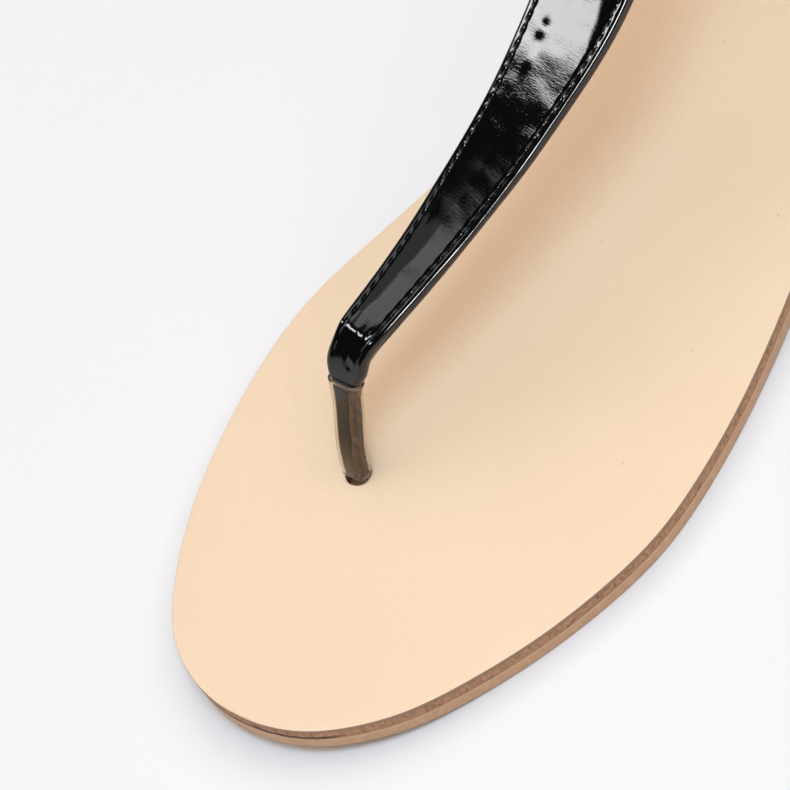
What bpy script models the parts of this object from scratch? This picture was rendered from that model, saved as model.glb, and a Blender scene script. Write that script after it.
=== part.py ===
"""Flat thong sandal for the left foot: a stacked leather sole and a T-strap with a buckled ankle strap.

Metres, +Z up. The toe points to -Y, the little toe's side is +X, and the sole stands on Z = 0.
"""

import math

import bmesh
import bpy
import numpy as np
from mathutils import Matrix, Vector

MM = 0.001
UP = Vector((0, 0, 1))
SIDEWAYS = Vector((1, 0, 0))
TOEWARDS = Vector((0, -1, 0))

# Sole
LENGTH = 252 * MM
BALL_WIDTH = 86 * MM
OUTSOLE_THICKNESS = 3.0 * MM
MIDSOLE_THICKNESS = 2.3 * MM
INSOLE_THICKNESS = 1.0 * MM
TOE_SPRING = 4.0 * MM
HEEL_LIFT = 6.0 * MM
EDGE_ROUNDING = 0.3 * MM
HEEL_LIFT_INSET = 0.6 * MM
SOLE_ROWS = 56

# Fits, and how the skins are made
CLEARANCE = 0.3 * MM
JOIN_OVERLAP = 0.35 * MM
MEETING_POINTS = 0.01 * MM
SMOOTH_BELOW = 35.0
BEVEL_ABOVE = 60.0
ROD_SIDES = 16
SECTION_ROUNDEST = 0.48

# Where the underside changes, as shares of the length from the toe tip
SPRING_ENDS = 0.175
TREAD_ENDS = 0.34
HEEL_BREAST = 0.745
LIFT_STARTS = 0.765

# How fast an inset grows from nothing at the tip and the heel's end
INSET_GROWTH = 1.4

# The outline seen from above: share of the length from the tip, then each side as a share of the ball width
OUTLINE_COLUMNS = ("along", "medial", "lateral")
OUTLINE = (
    (0.00, -0.064, -0.064),
    (0.01, -0.195, 0.076),
    (0.03, -0.285, 0.165),
    (0.06, -0.353, 0.248),
    (0.10, -0.413, 0.321),
    (0.15, -0.462, 0.395),
    (0.20, -0.488, 0.452),
    (0.25, -0.500, 0.490),
    (0.30, -0.493, 0.500),
    (0.40, -0.415, 0.480),
    (0.50, -0.335, 0.436),
    (0.60, -0.302, 0.393),
    (0.70, -0.318, 0.362),
    (0.80, -0.340, 0.348),
    (0.88, -0.344, 0.338),
    (0.95, -0.300, 0.288),
    (0.99, -0.170, 0.150),
    (1.00, -0.012, -0.012),
)

# Toe post, its hole as shares of length and ball width, and the clear sleeve round it
POST_ALONG = 0.1985
POST_ACROSS = -0.1535
POST_HOLE = 4.8 * MM
POST_WIDTH = 4.2 * MM
POST_DEPTH = 2.7 * MM
SLEEVE_WALL = 0.4 * MM
SLEEVE_FOOT_GAP = 1.2 * MM
SLEEVE_LENGTH = 22.0 * MM
SLEEVE_ROWS = 12

# T-strap: reach and rise run from the insole at the post to the ankle strap's front
STRAP_WIDTH = 18.5 * MM
STRAP_THICKNESS = 2.2 * MM
STRAP_REACH = 107.5 * MM
STRAP_RISE = 80.0 * MM
STRAP_DRIFT = 13.0 * MM
STRAP_ROWS = 42
STRAP_ROUNDNESS = 0.45
STRAP_STEP = 0.004
STRAP_TURN_STARTS = 0.12
STRAP_TURN_ENDS = 0.45

# Reach, rise and drift as shares of theirs; width and depth run from the post's, 0, to the strap's, 1; the
# crown is how far the strap's sides lie below its middle, as a share of its thickness
STRAP_COLUMNS = ("reach", "rise", "drift", "width", "depth", "crown")
STRAP = (
    (0.000, 0.000, 0.00, 0.000, 0.000, 0.00),
    (0.018, 0.100, -0.01, 0.000, 0.000, 0.00),
    (0.049, 0.195, -0.03, 0.008, 0.000, 0.00),
    (0.073, 0.275, -0.04, 0.095, 0.100, 0.00),
    (0.085, 0.304, -0.03, 0.210, 0.300, 0.01),
    (0.107, 0.340, 0.02, 0.280, 0.600, 0.03),
    (0.152, 0.377, 0.13, 0.340, 0.900, 0.07),
    (0.212, 0.400, 0.25, 0.392, 1.000, 0.09),
    (0.297, 0.432, 0.41, 0.475, 1.000, 0.09),
    (0.387, 0.469, 0.56, 0.580, 1.000, 0.09),
    (0.472, 0.506, 0.70, 0.672, 1.000, 0.10),
    (0.552, 0.546, 0.81, 0.750, 1.000, 0.12),
    (0.632, 0.592, 0.90, 0.865, 1.000, 0.18),
    (0.722, 0.652, 0.97, 0.965, 1.000, 0.28),
    (0.807, 0.726, 0.99, 0.993, 1.000, 0.42),
    (0.882, 0.812, 1.00, 1.000, 1.000, 0.58),
    (0.942, 0.903, 1.00, 1.000, 1.060, 0.72),
    (0.977, 0.975, 0.99, 1.000, 1.120, 0.76),
)

# Ankle strap: an oval ring that rises to the front and lies against the leg, and its buckled end
ANKLE_WIDTH = 12.0 * MM
ANKLE_THICKNESS = 2.0 * MM
ANKLE_HALF_LENGTH = 41.0 * MM
ANKLE_HALF_WIDTH = 31.0 * MM
ANKLE_SLOPE = 13.0
ANKLE_FRONT_LEAN = 16.0
ANKLE_ROWS = 84
ANKLE_ROUNDING = 0.9 * MM
STRAP_OVER_RING = 1.0 * MM
TAIL_END_ANGLE = 42.0
TAIL_POINT = 9.0 * MM
TAIL_BLUNTNESS = 0.03
HOLE_DIAMETER = 2.2 * MM
HOLE_SPACING = 7.0 * MM
HOLES = 5

# Heel counter: a wall from the sole's edge to the ankle strap
COUNTER_THICKNESS = 1.8 * MM
COUNTER_MARGIN = 1.2 * MM
COUNTER_STARTS = 0.775
COUNTER_LEAD = 0.05
COUNTER_TOP_ANGLE = 52.0
COUNTER_BULGE = 2.5 * MM
COUNTER_FRONT_HOLLOW = 0.10
COUNTER_COLUMNS = 32
COUNTER_ROWS = 8
COUNTER_ROWS_ON_STRAP = 2

# Buckle and keeper, at angles round the ankle strap from the back towards the little toe's side
BUCKLE_ANGLE = 86.0
BUCKLE_WIRE = 1.8 * MM
PRONG_WIRE = 1.4 * MM
BUCKLE_REACH = 10.7 * MM
BUCKLE_CORNER = 2.4 * MM
BUCKLE_CORNER_STEPS = 4
BUCKLE_SIDE_GAP = 1.1 * MM
FOLD_WALL = 1.4 * MM
PRONG_HOLE = 3.6 * MM
PRONG_EYE_STARTS = 75.0
PRONG_EYE_STEPS = 12
PRONG_BEND_STARTS = 0.3
TAIL_UNDER_BAR = 1.0 * MM
KEEPER_ANGLE = 63.0
KEEPER_WIDTH = 5.0 * MM
KEEPER_THICKNESS = 1.2 * MM
BAND_ROUNDING = 0.5 * MM


def smooth(knots, values):
    """A natural cubic spline through the values at the knots, as a function of one number."""
    knots = np.asarray(knots, float)
    values = np.asarray(values, float)
    steps = np.diff(knots)
    slopes = (np.diff(values, axis=0).T / steps).T
    matrix = np.eye(len(knots))
    right = np.zeros_like(values)
    for i in range(1, len(knots) - 1):
        matrix[i, i - 1 : i + 2] = steps[i - 1], 2 * (steps[i - 1] + steps[i]), steps[i]
        right[i] = 6 * (slopes[i] - slopes[i - 1])
    bend = np.linalg.solve(matrix, right)

    def at(place):
        i = int(np.clip(np.searchsorted(knots, place) - 1, 0, len(steps) - 1))
        after = (place - knots[i]) / steps[i]
        before = 1 - after
        curve = (before**3 - before) * bend[i] + (after**3 - after) * bend[i + 1]
        return before * values[i] + after * values[i + 1] + curve * steps[i] ** 2 / 6

    return at


def ease(low, high, value):
    """0 at low, 1 at high and beyond, and a soft S between them."""
    share = min(1.0, max(0.0, (value - low) / (high - low)))
    return share * share * (3 - 2 * share)


def turn_of(along):
    """The angle round an oval at which it is that share of its length from the tip."""
    return math.acos(1 - 2 * along)


def named_rows(columns, table):
    """The table's rows, each value under its column's name."""
    return [dict(zip(columns, row)) for row in table]


EDGES = named_rows(OUTLINE_COLUMNS, OUTLINE)
OUTLINE_TURNS = [turn_of(row["along"]) for row in EDGES]
MEDIAL_EDGE = smooth(OUTLINE_TURNS, [row["medial"] * BALL_WIDTH for row in EDGES])
LATERAL_EDGE = smooth(OUTLINE_TURNS, [row["lateral"] * BALL_WIDTH for row in EDGES])


def edge_point(turn, side, inset=0.0):
    """A point of the sole's outline, drawn in by the inset; side runs from -1, medial, to 1, lateral."""
    inward = inset * min(1.0, INSET_GROWTH * math.sin(turn))
    medial = float(MEDIAL_EDGE(turn)) + inward
    lateral = float(LATERAL_EDGE(turn)) - inward
    y = -(LENGTH / 2 - inset) * math.cos(turn)
    return medial + (lateral - medial) * (side + 1) / 2, y


def underside(y):
    """Height of the outsole's underside: toe spring, flat tread, a soft rise and the seat on the lift."""
    along = 0.5 + y / LENGTH
    spring = max(0.0, 1 - along / SPRING_ENDS) ** 2 * TOE_SPRING
    return spring + ease(TREAD_ENDS, HEEL_BREAST, along) * HEEL_LIFT


MIDSOLE_BASE = OUTSOLE_THICKNESS + CLEARANCE
INSOLE_BASE = MIDSOLE_BASE + MIDSOLE_THICKNESS + CLEARANCE
INSOLE_TOP = INSOLE_BASE + INSOLE_THICKNESS


def material(name, colour, roughness, metallic=0.0, alpha=1.0):
    """A Principled BSDF with this colour."""
    made = bpy.data.materials.new(name)
    made.use_nodes = True
    shader = made.node_tree.nodes["Principled BSDF"]
    shader.inputs["Base Color"].default_value = (*colour, 1.0)
    shader.inputs["Roughness"].default_value = roughness
    shader.inputs["Metallic"].default_value = metallic
    shader.inputs["Alpha"].default_value = alpha
    return made


def add_object(name, data, collection, look=None):
    """An object of the collection made from a mesh or a curve."""
    made = bpy.data.objects.new(name, data)
    if look is not None:
        data.materials.append(look)
    collection.objects.link(made)
    return made


def finish_object(bm, name, collection, look=None):
    """Turns a bmesh into an object of the collection, shaded smooth away from its edges."""
    mesh = bpy.data.meshes.new(name)
    bm.to_mesh(mesh)
    bm.free()
    mesh.shade_smooth()
    mesh.set_sharp_from_angle(angle=math.radians(SMOOTH_BELOW))
    return add_object(name, mesh, collection, look)


def mapped_grid(columns, rows, place):
    """A grid whose points are moved to place(across, along), both from 0 to 1, with meeting points joined."""
    bm = bmesh.new()
    bmesh.ops.create_grid(bm, x_segments=columns, y_segments=rows, size=1.0)
    for vertex in bm.verts:
        vertex.co = Vector(place((vertex.co.x + 1) / 2, (vertex.co.y + 1) / 2))
    bmesh.ops.remove_doubles(bm, verts=bm.verts, dist=MEETING_POINTS)
    return bm


def solidify(target, thickness, offset):
    """Gives an open sheet its wall; offset 1 grows it along the normals and -1 against them."""
    modifier = target.modifiers.new("wall", "SOLIDIFY")
    modifier.thickness = thickness
    modifier.offset = offset
    modifier.use_even_offset = True


def bevel(target, width):
    """Breaks the sharp edges."""
    modifier = target.modifiers.new("edges", "BEVEL")
    modifier.width = width
    modifier.segments = 1
    modifier.limit_method = "ANGLE"
    modifier.angle_limit = math.radians(BEVEL_ABOVE)


def combine(target, other, operation):
    """Cuts or joins another object, which is itself left out of the model."""
    modifier = target.modifiers.new(operation.lower(), "BOOLEAN")
    modifier.operation = operation
    modifier.object = other
    modifier.solver = "EXACT"
    other.hide_render = True
    other.display_type = "WIRE"


def rounded_section(width, depth, radius, flats=3):
    """Points round a strap's section as (across, out) pairs; flats is how many runs each broad side has."""
    radius = min(radius, SECTION_ROUNDEST * width, SECTION_ROUNDEST * depth)
    half_width, half_depth = width / 2 - radius, depth / 2 - radius
    points = []
    for corner, (right, top) in enumerate(((1, 1), (-1, 1), (-1, -1), (1, -1))):
        for step in range(3):
            angle = math.radians(90 * corner + 45 * step)
            a, b = radius * math.cos(angle), radius * math.sin(angle)
            points.append((right * half_width + a, top * half_depth + b))
        if right == top:
            points += [(right * half_width * (1 - 2 * i / flats), top * depth / 2) for i in range(1, flats)]
    return points


def tube(rows):
    """An open-ended skin through rows of (centre, across, out, section), with its normals outwards."""
    size = len(rows[0][3])

    def place(around, along):
        centre, across, out, section = rows[round(along * (len(rows) - 1))]
        a, b = section[round(around * size) % size]
        return centre + across * a + out * b

    bm = mapped_grid(size, len(rows) - 1, place)
    bmesh.ops.recalc_face_normals(bm, faces=bm.faces)
    return bm


def sweep(rows):
    """The same skin closed by a cap at each end."""
    bm = tube(rows)
    bmesh.ops.holes_fill(bm, edges=[edge for edge in bm.edges if edge.is_boundary], sides=0)
    bmesh.ops.recalc_face_normals(bm, faces=bm.faces)
    return bm


def cross_rod(name, collection, centre, direction, radius, length):
    """A round rod of that direction and length with its middle at the centre."""
    bm = bmesh.new()
    bmesh.ops.create_cone(bm, cap_ends=True, segments=ROD_SIDES, radius1=radius, radius2=radius, depth=length)
    rod = finish_object(bm, name, collection)
    rod.location = centre
    rod.rotation_mode = "QUATERNION"
    rod.rotation_quaternion = UP.rotation_difference(direction)
    return rod


def wire(name, points, diameter, collection, look, closed=False):
    """A bent wire through the points."""
    curve = bpy.data.curves.new(name, "CURVE")
    curve.dimensions = "3D"
    curve.bevel_depth = diameter / 2
    curve.bevel_resolution = 2
    curve.use_fill_caps = True
    spline = curve.splines.new("POLY")
    spline.points.add(len(points) - 1)
    for target, point in zip(spline.points, points):
        target.co = (*point, 1.0)
    spline.use_cyclic_u = closed
    return add_object(name, curve, collection, look)


# Sole layers


def no_inset(turn):
    """The outsole and the midsole have the outline itself."""
    return 0.0


def counter_inset(turn):
    """How far the insole draws in so that the heel counter stands outside it."""
    along = (1 - math.cos(turn)) / 2
    full = COUNTER_MARGIN + COUNTER_THICKNESS + 2 * CLEARANCE
    return full * ease(COUNTER_STARTS - COUNTER_LEAD, COUNTER_STARTS - COUNTER_LEAD / 5, along)


def lift_inset(turn):
    """The heel lift stands a little inside the outsole."""
    return HEEL_LIFT_INSET


def sole_layer(name, collection, look, base, thickness, inset, first=0.0, follow=True):
    """One layer: a sheet with the sole's outline from the share first to the heel, with its wall above."""
    start = turn_of(first)

    def place(across, along):
        turn = start + (math.pi - start) * along
        x, y = edge_point(turn, 2 * across - 1, inset(turn))
        return x, y, base + (underside(y) if follow else 0.0)

    layer = finish_object(mapped_grid(2, SOLE_ROWS, place), name, collection, look)
    solidify(layer, thickness, 1)
    bevel(layer, EDGE_ROUNDING)
    return layer


# T-strap with its toe post

POST_Y = (POST_ALONG - 0.5) * LENGTH
POST = Vector((POST_ACROSS * BALL_WIDTH, POST_Y, underside(POST_Y) + INSOLE_TOP))


def strap_curves():
    """The T-strap's centre line and section sizes along a share of its length, and that length."""
    rows = named_rows(STRAP_COLUMNS, STRAP)
    spans = Vector((STRAP_DRIFT, STRAP_REACH, STRAP_RISE))
    points = [POST + spans * Vector((row["drift"], row["reach"], row["rise"])) for row in rows]
    lengths = [0.0]
    for before, after in zip(points, points[1:]):
        lengths.append(lengths[-1] + (after - before).length)
    shares = [length / lengths[-1] for length in lengths]
    widths = [POST_WIDTH + row["width"] * (STRAP_WIDTH - POST_WIDTH) for row in rows]
    depths = [POST_DEPTH + row["depth"] * (STRAP_THICKNESS - POST_DEPTH) for row in rows]
    crowns = [row["crown"] * STRAP_THICKNESS for row in rows]
    sizes = smooth(shares, list(zip(widths, depths, crowns)))
    return smooth(shares, [tuple(point) for point in points]), sizes, lengths[-1]


STRAP_LINE, STRAP_SIZES, STRAP_LENGTH = strap_curves()


def strap_row(share, grow=0.0):
    """The T-strap's section at a share of its length, grown on all sides."""
    centre = Vector(STRAP_LINE(share))
    before, after = max(0.0, share - STRAP_STEP), min(1.0, share + STRAP_STEP)
    ahead = (Vector(STRAP_LINE(after)) - Vector(STRAP_LINE(before))).normalized()
    # The post faces the toe, and the strap turns to lie square across its own line
    square = Vector((ahead.y, -ahead.x, 0.0)).normalized()
    across = SIDEWAYS.lerp(square, ease(STRAP_TURN_STARTS, STRAP_TURN_ENDS, share))
    across = (across - ahead * across.dot(ahead)).normalized()
    width, depth, crown = (float(size) for size in STRAP_SIZES(share))
    width, depth = width + 2 * grow, depth + 2 * grow
    section = rounded_section(width, depth, STRAP_ROUNDNESS * depth, 4)
    section = [(a, b - crown * (2 * a / width) ** 2) for a, b in section]
    return centre, across, across.cross(ahead), section


def build_t_strap(collection):
    """The strap from its anchor on the outsole, through the sole and the toe post, up to the ankle strap."""
    rows = [strap_row(i / (STRAP_ROWS - 1)) for i in range(STRAP_ROWS)]
    centre, _, _, section = rows[0]
    root = centre - UP * (INSOLE_TOP - OUTSOLE_THICKNESS - CLEARANCE)
    return finish_object(sweep([(root, SIDEWAYS, TOEWARDS, section), *rows]), "t_strap", collection)


def build_sleeve(collection, look):
    """The clear tube over the toe post, open at both ends."""
    first = SLEEVE_FOOT_GAP / STRAP_LENGTH
    share = SLEEVE_LENGTH / STRAP_LENGTH
    grow = CLEARANCE + SLEEVE_WALL
    rows = [strap_row(first + share * i / (SLEEVE_ROWS - 1), grow) for i in range(SLEEVE_ROWS)]
    sleeve = finish_object(tube(rows), "toe_sleeve", collection, look)
    solidify(sleeve, SLEEVE_WALL, -1)
    return sleeve


# Ankle strap

RING_OUT = (STRAP_THICKNESS + ANKLE_THICKNESS) / 2 - JOIN_OVERLAP
RING_LIFT = ANKLE_WIDTH / 2 - STRAP_OVER_RING
FRONT_LEAN = math.tan(math.radians(ANKLE_FRONT_LEAN))
SLOPE = math.tan(math.radians(ANKLE_SLOPE))


def ring_frame(degrees, outward=0.0):
    """A point of the ankle strap's line from its own middle; 0 is the back and 90 the little toe's side."""
    angle = math.radians(degrees)
    sine, cosine = math.sin(angle), math.cos(angle)
    width, length = ANKLE_HALF_WIDTH, ANKLE_HALF_LENGTH
    centre = Vector((width * sine, length * cosine, -SLOPE * length * cosine))
    ahead = Vector((width * cosine, -length * sine, SLOPE * length * sine))
    out = Vector((sine * length, cosine * width, 0.0)).normalized()
    out += UP * FRONT_LEAN * (1 - cosine) / 2
    out = (out - ahead * out.dot(ahead) / ahead.length_squared).normalized()
    return centre + out * outward, ahead.normalized().cross(out), out


FRONT_PLACE, FRONT_ACROSS, _ = ring_frame(180, RING_OUT)
RING_MIDDLE = Vector(STRAP_LINE(1.0)) + FRONT_ACROSS * RING_LIFT - FRONT_PLACE


def ankle_frame(degrees, outward=0.0):
    """A point of the ankle strap's line, with the directions up across it and out of it."""
    centre, across, out = ring_frame(degrees, outward)
    return RING_MIDDLE + centre, across, out


def degrees_for(length, degrees):
    """The angle that a length along the ankle strap takes up there."""
    angle = math.radians(degrees)
    speed = math.hypot(ANKLE_HALF_WIDTH * math.cos(angle), ANKLE_HALF_LENGTH * math.sin(angle))
    return math.degrees(length / speed)


FOLD_RADIUS = BUCKLE_WIRE / 2 + CLEARANCE + FOLD_WALL
STAND_OFF = BUCKLE_WIRE / 2 + CLEARANCE + PRONG_WIRE / 2
LAP = ANKLE_THICKNESS + CLEARANCE
OVER_FOLD = FOLD_RADIUS + CLEARANCE + ANKLE_THICKNESS / 2

# The free end from the front to its tip: how far past the hinge, and how far out it runs there
TAIL_RUN = (
    (-24.0 * MM, LAP),
    (-14.0 * MM, LAP),
    (-8.0 * MM, LAP + 0.3 * MM),
    (0.0 * MM, OVER_FOLD),
    (BUCKLE_REACH, TAIL_UNDER_BAR),
    (20.0 * MM, 0.15 * MM),
    (32.0 * MM, 0.0 * MM),
)
TAIL_CURVE = smooth([row[0] for row in TAIL_RUN], [row[1] for row in TAIL_RUN])


def tail_offset(degrees):
    """How far out the free end runs at an angle, level beyond the ends of its curve."""
    past_hinge = (degrees - BUCKLE_ANGLE) / degrees_for(1.0, BUCKLE_ANGLE)
    return float(TAIL_CURVE(min(TAIL_RUN[-1][0], max(TAIL_RUN[0][0], past_hinge))))


def build_ankle_strap(collection):
    """The band from the buckle's hinge, round the heel, through the T-strap's fold, to its free end."""
    start = BUCKLE_ANGLE
    end = TAIL_END_ANGLE - 360
    rows = []
    for i in range(ANKLE_ROWS):
        degrees = start + (end - start) * i / (ANKLE_ROWS - 1)
        outward = tail_offset(degrees + 360) if degrees < -180 else 0.0
        centre, across, out = ankle_frame(degrees, outward)
        to_tip = max(TAIL_BLUNTNESS, (degrees - end) / degrees_for(TAIL_POINT, TAIL_END_ANGLE))
        width = ANKLE_WIDTH * math.sqrt(1 - max(0.0, 1 - to_tip) ** 2)
        rows.append((centre, across, out, rounded_section(width, ANKLE_THICKNESS, ANKLE_ROUNDING)))
    return finish_object(sweep(rows), "ankle_strap", collection)


def ring_sleeve(name, collection, degrees, width, columns, lap, gap, thickness):
    """A band folded round the ankle strap; lap is how far out the free end lies under it."""
    half = degrees_for(width / 2, degrees)
    height = ANKLE_WIDTH + 2 * (gap + thickness)
    depth = ANKLE_THICKNESS + lap + 2 * (gap + thickness)
    section = rounded_section(height, depth, thickness + BAND_ROUNDING)
    rows = []
    for i in range(columns + 1):
        centre, across, out = ankle_frame(degrees + half * (2 * i / columns - 1), lap / 2)
        rows.append((centre, across, out, section))
    band = finish_object(tube(rows), name, collection)
    solidify(band, thickness, -1)
    return band


def prong_slot(collection):
    """The slot in the fold in which the prong's eye turns."""
    centre, across, out = ankle_frame(BUCKLE_ANGLE)
    ahead = out.cross(across)
    width = PRONG_WIRE + 2 * CLEARANCE
    long, deep = 2 * (FOLD_RADIUS + CLEARANCE), 2 * FOLD_RADIUS + CLEARANCE
    frame = Matrix((across * width, ahead * long, out * deep)).transposed().to_4x4()
    bm = bmesh.new()
    bmesh.ops.create_cube(bm, size=1.0, matrix=Matrix.Translation(centre) @ frame)
    return finish_object(bm, "prong_slot", collection)


# Heel counter


def build_counter(collection):
    """The wall round the heel, from the midsole's edge to the ankle strap's inner face."""
    base_height = MIDSOLE_BASE + MIDSOLE_THICKNESS + CLEARANCE
    band_starts = 1 - COUNTER_ROWS_ON_STRAP / COUNTER_ROWS

    def place(around, up):
        side = (2 * around - 1) * (1 - COUNTER_FRONT_HOLLOW * math.sin(math.pi * up))
        turn = math.pi - (math.pi - turn_of(COUNTER_STARTS)) * abs(side)
        x, y = edge_point(turn, math.copysign(1, side), COUNTER_MARGIN)
        low = Vector((x, y, underside(y) + base_height))
        ring, across, out = ankle_frame(side * COUNTER_TOP_ANGLE, JOIN_OVERLAP - ANKLE_THICKNESS / 2)
        seam = ring - across * ANKLE_WIDTH / 2
        if up > band_starts:
            share = (up - band_starts) / (1 - band_starts)
            return seam.lerp(ring + across * (ANKLE_WIDTH / 2 - 2 * CLEARANCE), share)
        share = up / band_starts
        point = low.lerp(seam, (share + ease(0, 1, share)) / 2)
        point.z = low.z + (seam.z - low.z) * share
        return point + Vector((out.x, out.y, 0)).normalized() * COUNTER_BULGE * math.sin(math.pi * share)

    bm = mapped_grid(COUNTER_COLUMNS, COUNTER_ROWS, place)
    bm.normal_update()
    heel_middle = Vector((0, LENGTH / 4, 0))
    if sum(face.normal.dot(face.calc_center_median() - heel_middle) for face in bm.faces) < 0:
        bmesh.ops.reverse_faces(bm, faces=bm.faces)
    wall = finish_object(bm, "counter", collection)
    solidify(wall, COUNTER_THICKNESS, -1)
    return wall


# Buckle


def buckle_directions():
    """The hinge's middle, the directions to the front bar, across the frame and out of it, and the reach."""
    hinge, across, _ = ankle_frame(BUCKLE_ANGLE)
    bar_offset = TAIL_UNDER_BAR + ANKLE_THICKNESS / 2 + CLEARANCE + BUCKLE_WIRE / 2
    bar_angle = BUCKLE_ANGLE + degrees_for(BUCKLE_REACH, BUCKLE_ANGLE)
    front, _, _ = ankle_frame(bar_angle, bar_offset)
    ahead = (front - hinge).normalized()
    across = (across - ahead * across.dot(ahead)).normalized()
    return hinge, ahead, across, across.cross(ahead), (front - hinge).length


def build_buckle(collection, look):
    """The frame: one wire round the strap, whose back bar is the hinge."""
    hinge, ahead, across, _, reach = buckle_directions()
    half = ANKLE_WIDTH / 2 + BUCKLE_SIDE_GAP + BUCKLE_WIRE / 2
    near, far = BUCKLE_CORNER, reach - BUCKLE_CORNER
    points = []
    for corner, (along, side) in enumerate(((far, 1), (near, 1), (near, -1), (far, -1))):
        middle = hinge + ahead * along + across * side * (half - BUCKLE_CORNER)
        for step in range(BUCKLE_CORNER_STEPS + 1):
            angle = math.radians(90 * (corner + step / BUCKLE_CORNER_STEPS))
            points.append(middle + (ahead * math.cos(angle) + across * math.sin(angle)) * BUCKLE_CORNER)
    return wire("buckle_frame", points, BUCKLE_WIRE, collection, look, closed=True)


def prong_line():
    """The turn at which the prong leaves its eye, and the place of the strap's hole from the hinge."""
    hinge, ahead, _, out, _ = buckle_directions()
    degrees = BUCKLE_ANGLE + degrees_for(PRONG_HOLE, BUCKLE_ANGLE)
    hole = ankle_frame(degrees, tail_offset(degrees))[0] - hinge
    along, high = hole.dot(ahead), hole.dot(out)
    leaves = math.atan2(high, along) - math.acos(STAND_OFF / math.hypot(along, high))
    return leaves, along, high


def build_prong(collection, look):
    """The prong: an eye round the hinge, up through the strap's hole, and flat on the front bar."""
    hinge, ahead, _, out, reach = buckle_directions()
    leaves, along, high = prong_line()
    starts, ends = math.radians(PRONG_EYE_STARTS), leaves + 2 * math.pi
    turns = [starts + (ends - starts) * i / PRONG_EYE_STEPS for i in range(PRONG_EYE_STEPS + 1)]
    path = [(STAND_OFF * math.cos(turn), STAND_OFF * math.sin(turn)) for turn in turns]
    rise = (along - path[-1][0], high - path[-1][1])
    path += [
        (along + PRONG_BEND_STARTS * rise[0], high + PRONG_BEND_STARTS * rise[1]),
        ((along + reach) / 2, STAND_OFF + PRONG_WIRE),
        (reach + BUCKLE_WIRE / 2, STAND_OFF),
    ]
    points = [hinge + ahead * a + out * b for a, b in path]
    return wire("buckle_prong", points, PRONG_WIRE, collection, look)


def build_holes(collection):
    """Cutters for the punched holes of the free end; the middle one takes the prong."""
    _, ahead, _, out, _ = buckle_directions()
    leaves, _, _ = prong_line()
    cutters = []
    for i in range(HOLES):
        past_hinge = PRONG_HOLE + (i - HOLES // 2) * HOLE_SPACING
        degrees = BUCKLE_ANGLE + degrees_for(past_hinge, BUCKLE_ANGLE)
        centre, _, hole_out = ankle_frame(degrees, tail_offset(degrees))
        taken = i == HOLES // 2
        radius = PRONG_WIRE / 2 + 2 * CLEARANCE if taken else HOLE_DIAMETER / 2
        direction = out * math.cos(leaves) - ahead * math.sin(leaves) if taken else hole_out
        depth = ANKLE_THICKNESS + (6 if taken else 1) * CLEARANCE
        cutters.append(cross_rod(f"hole_{i + 1}", collection, centre, direction, radius, depth))
    return cutters


def build():
    """The whole sandal."""
    sandal = bpy.data.collections.new("flat_sandal")
    cutters = bpy.data.collections.new("cutters")
    for collection in (sandal, cutters):
        bpy.context.scene.collection.children.link(collection)

    tan_edge = material("outsole_leather", (0.46, 0.30, 0.20), 0.6)
    brown_edge = material("midsole_board", (0.28, 0.15, 0.09), 0.75)
    beige = material("insole_leather", (0.86, 0.67, 0.50), 0.55)
    patent = material("black_patent", (0.004, 0.004, 0.004), 0.12)
    clear = material("clear_sleeve", (0.9, 0.9, 0.88), 0.08, alpha=0.35)
    steel = material("buckle_steel", (0.6, 0.6, 0.58), 0.25, metallic=1.0)

    sole_layer("outsole", sandal, tan_edge, 0.0, OUTSOLE_THICKNESS, no_inset)
    midsole = sole_layer("midsole", sandal, brown_edge, MIDSOLE_BASE, MIDSOLE_THICKNESS, no_inset)
    insole = sole_layer("insole", sandal, beige, INSOLE_BASE, INSOLE_THICKNESS, counter_inset)
    lift_height = HEEL_LIFT - CLEARANCE
    sole_layer("heel_lift", sandal, tan_edge, 0.0, lift_height, lift_inset, LIFT_STARTS, follow=False)
    hole = cross_rod("post_hole", cutters, POST, UP, POST_HOLE / 2, 4 * INSOLE_TOP)
    combine(midsole, hole, "DIFFERENCE")
    combine(insole, hole, "DIFFERENCE")

    upper = build_t_strap(sandal)
    upper.name = upper.data.name = "upper"
    upper.data.materials.append(patent)
    loop = ring_sleeve("strap_loop", cutters, 180, STRAP_WIDTH, 8, 0.0, -JOIN_OVERLAP, STRAP_THICKNESS)
    centre, across, _ = ankle_frame(BUCKLE_ANGLE)
    fold = cross_rod("hinge_fold", cutters, centre, across, FOLD_RADIUS, ANKLE_WIDTH)
    for piece in (loop, build_ankle_strap(cutters), build_counter(cutters), fold):
        combine(upper, piece, "UNION")
    bore = cross_rod("hinge_bore", cutters, centre, across, BUCKLE_WIRE / 2 + CLEARANCE, 2 * ANKLE_WIDTH)
    for cutter in (bore, prong_slot(cutters), *build_holes(cutters)):
        combine(upper, cutter, "DIFFERENCE")

    build_sleeve(sandal, clear)
    build_buckle(sandal, steel)
    build_prong(sandal, steel)
    keeper = ring_sleeve(
        "strap_keeper", sandal, KEEPER_ANGLE, KEEPER_WIDTH, 2, LAP, CLEARANCE, KEEPER_THICKNESS
    )
    keeper.data.materials.append(patent)


for leftover in list(bpy.data.objects):
    bpy.data.objects.remove(leftover)
build()
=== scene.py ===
"""Looks of a left flat thong sandal: stacked leather sole and black patent T-strap with an ankle strap."""

import math
import random

import bmesh
import bpy
import numpy as np
from mathutils import Matrix, Quaternion, Vector


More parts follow.
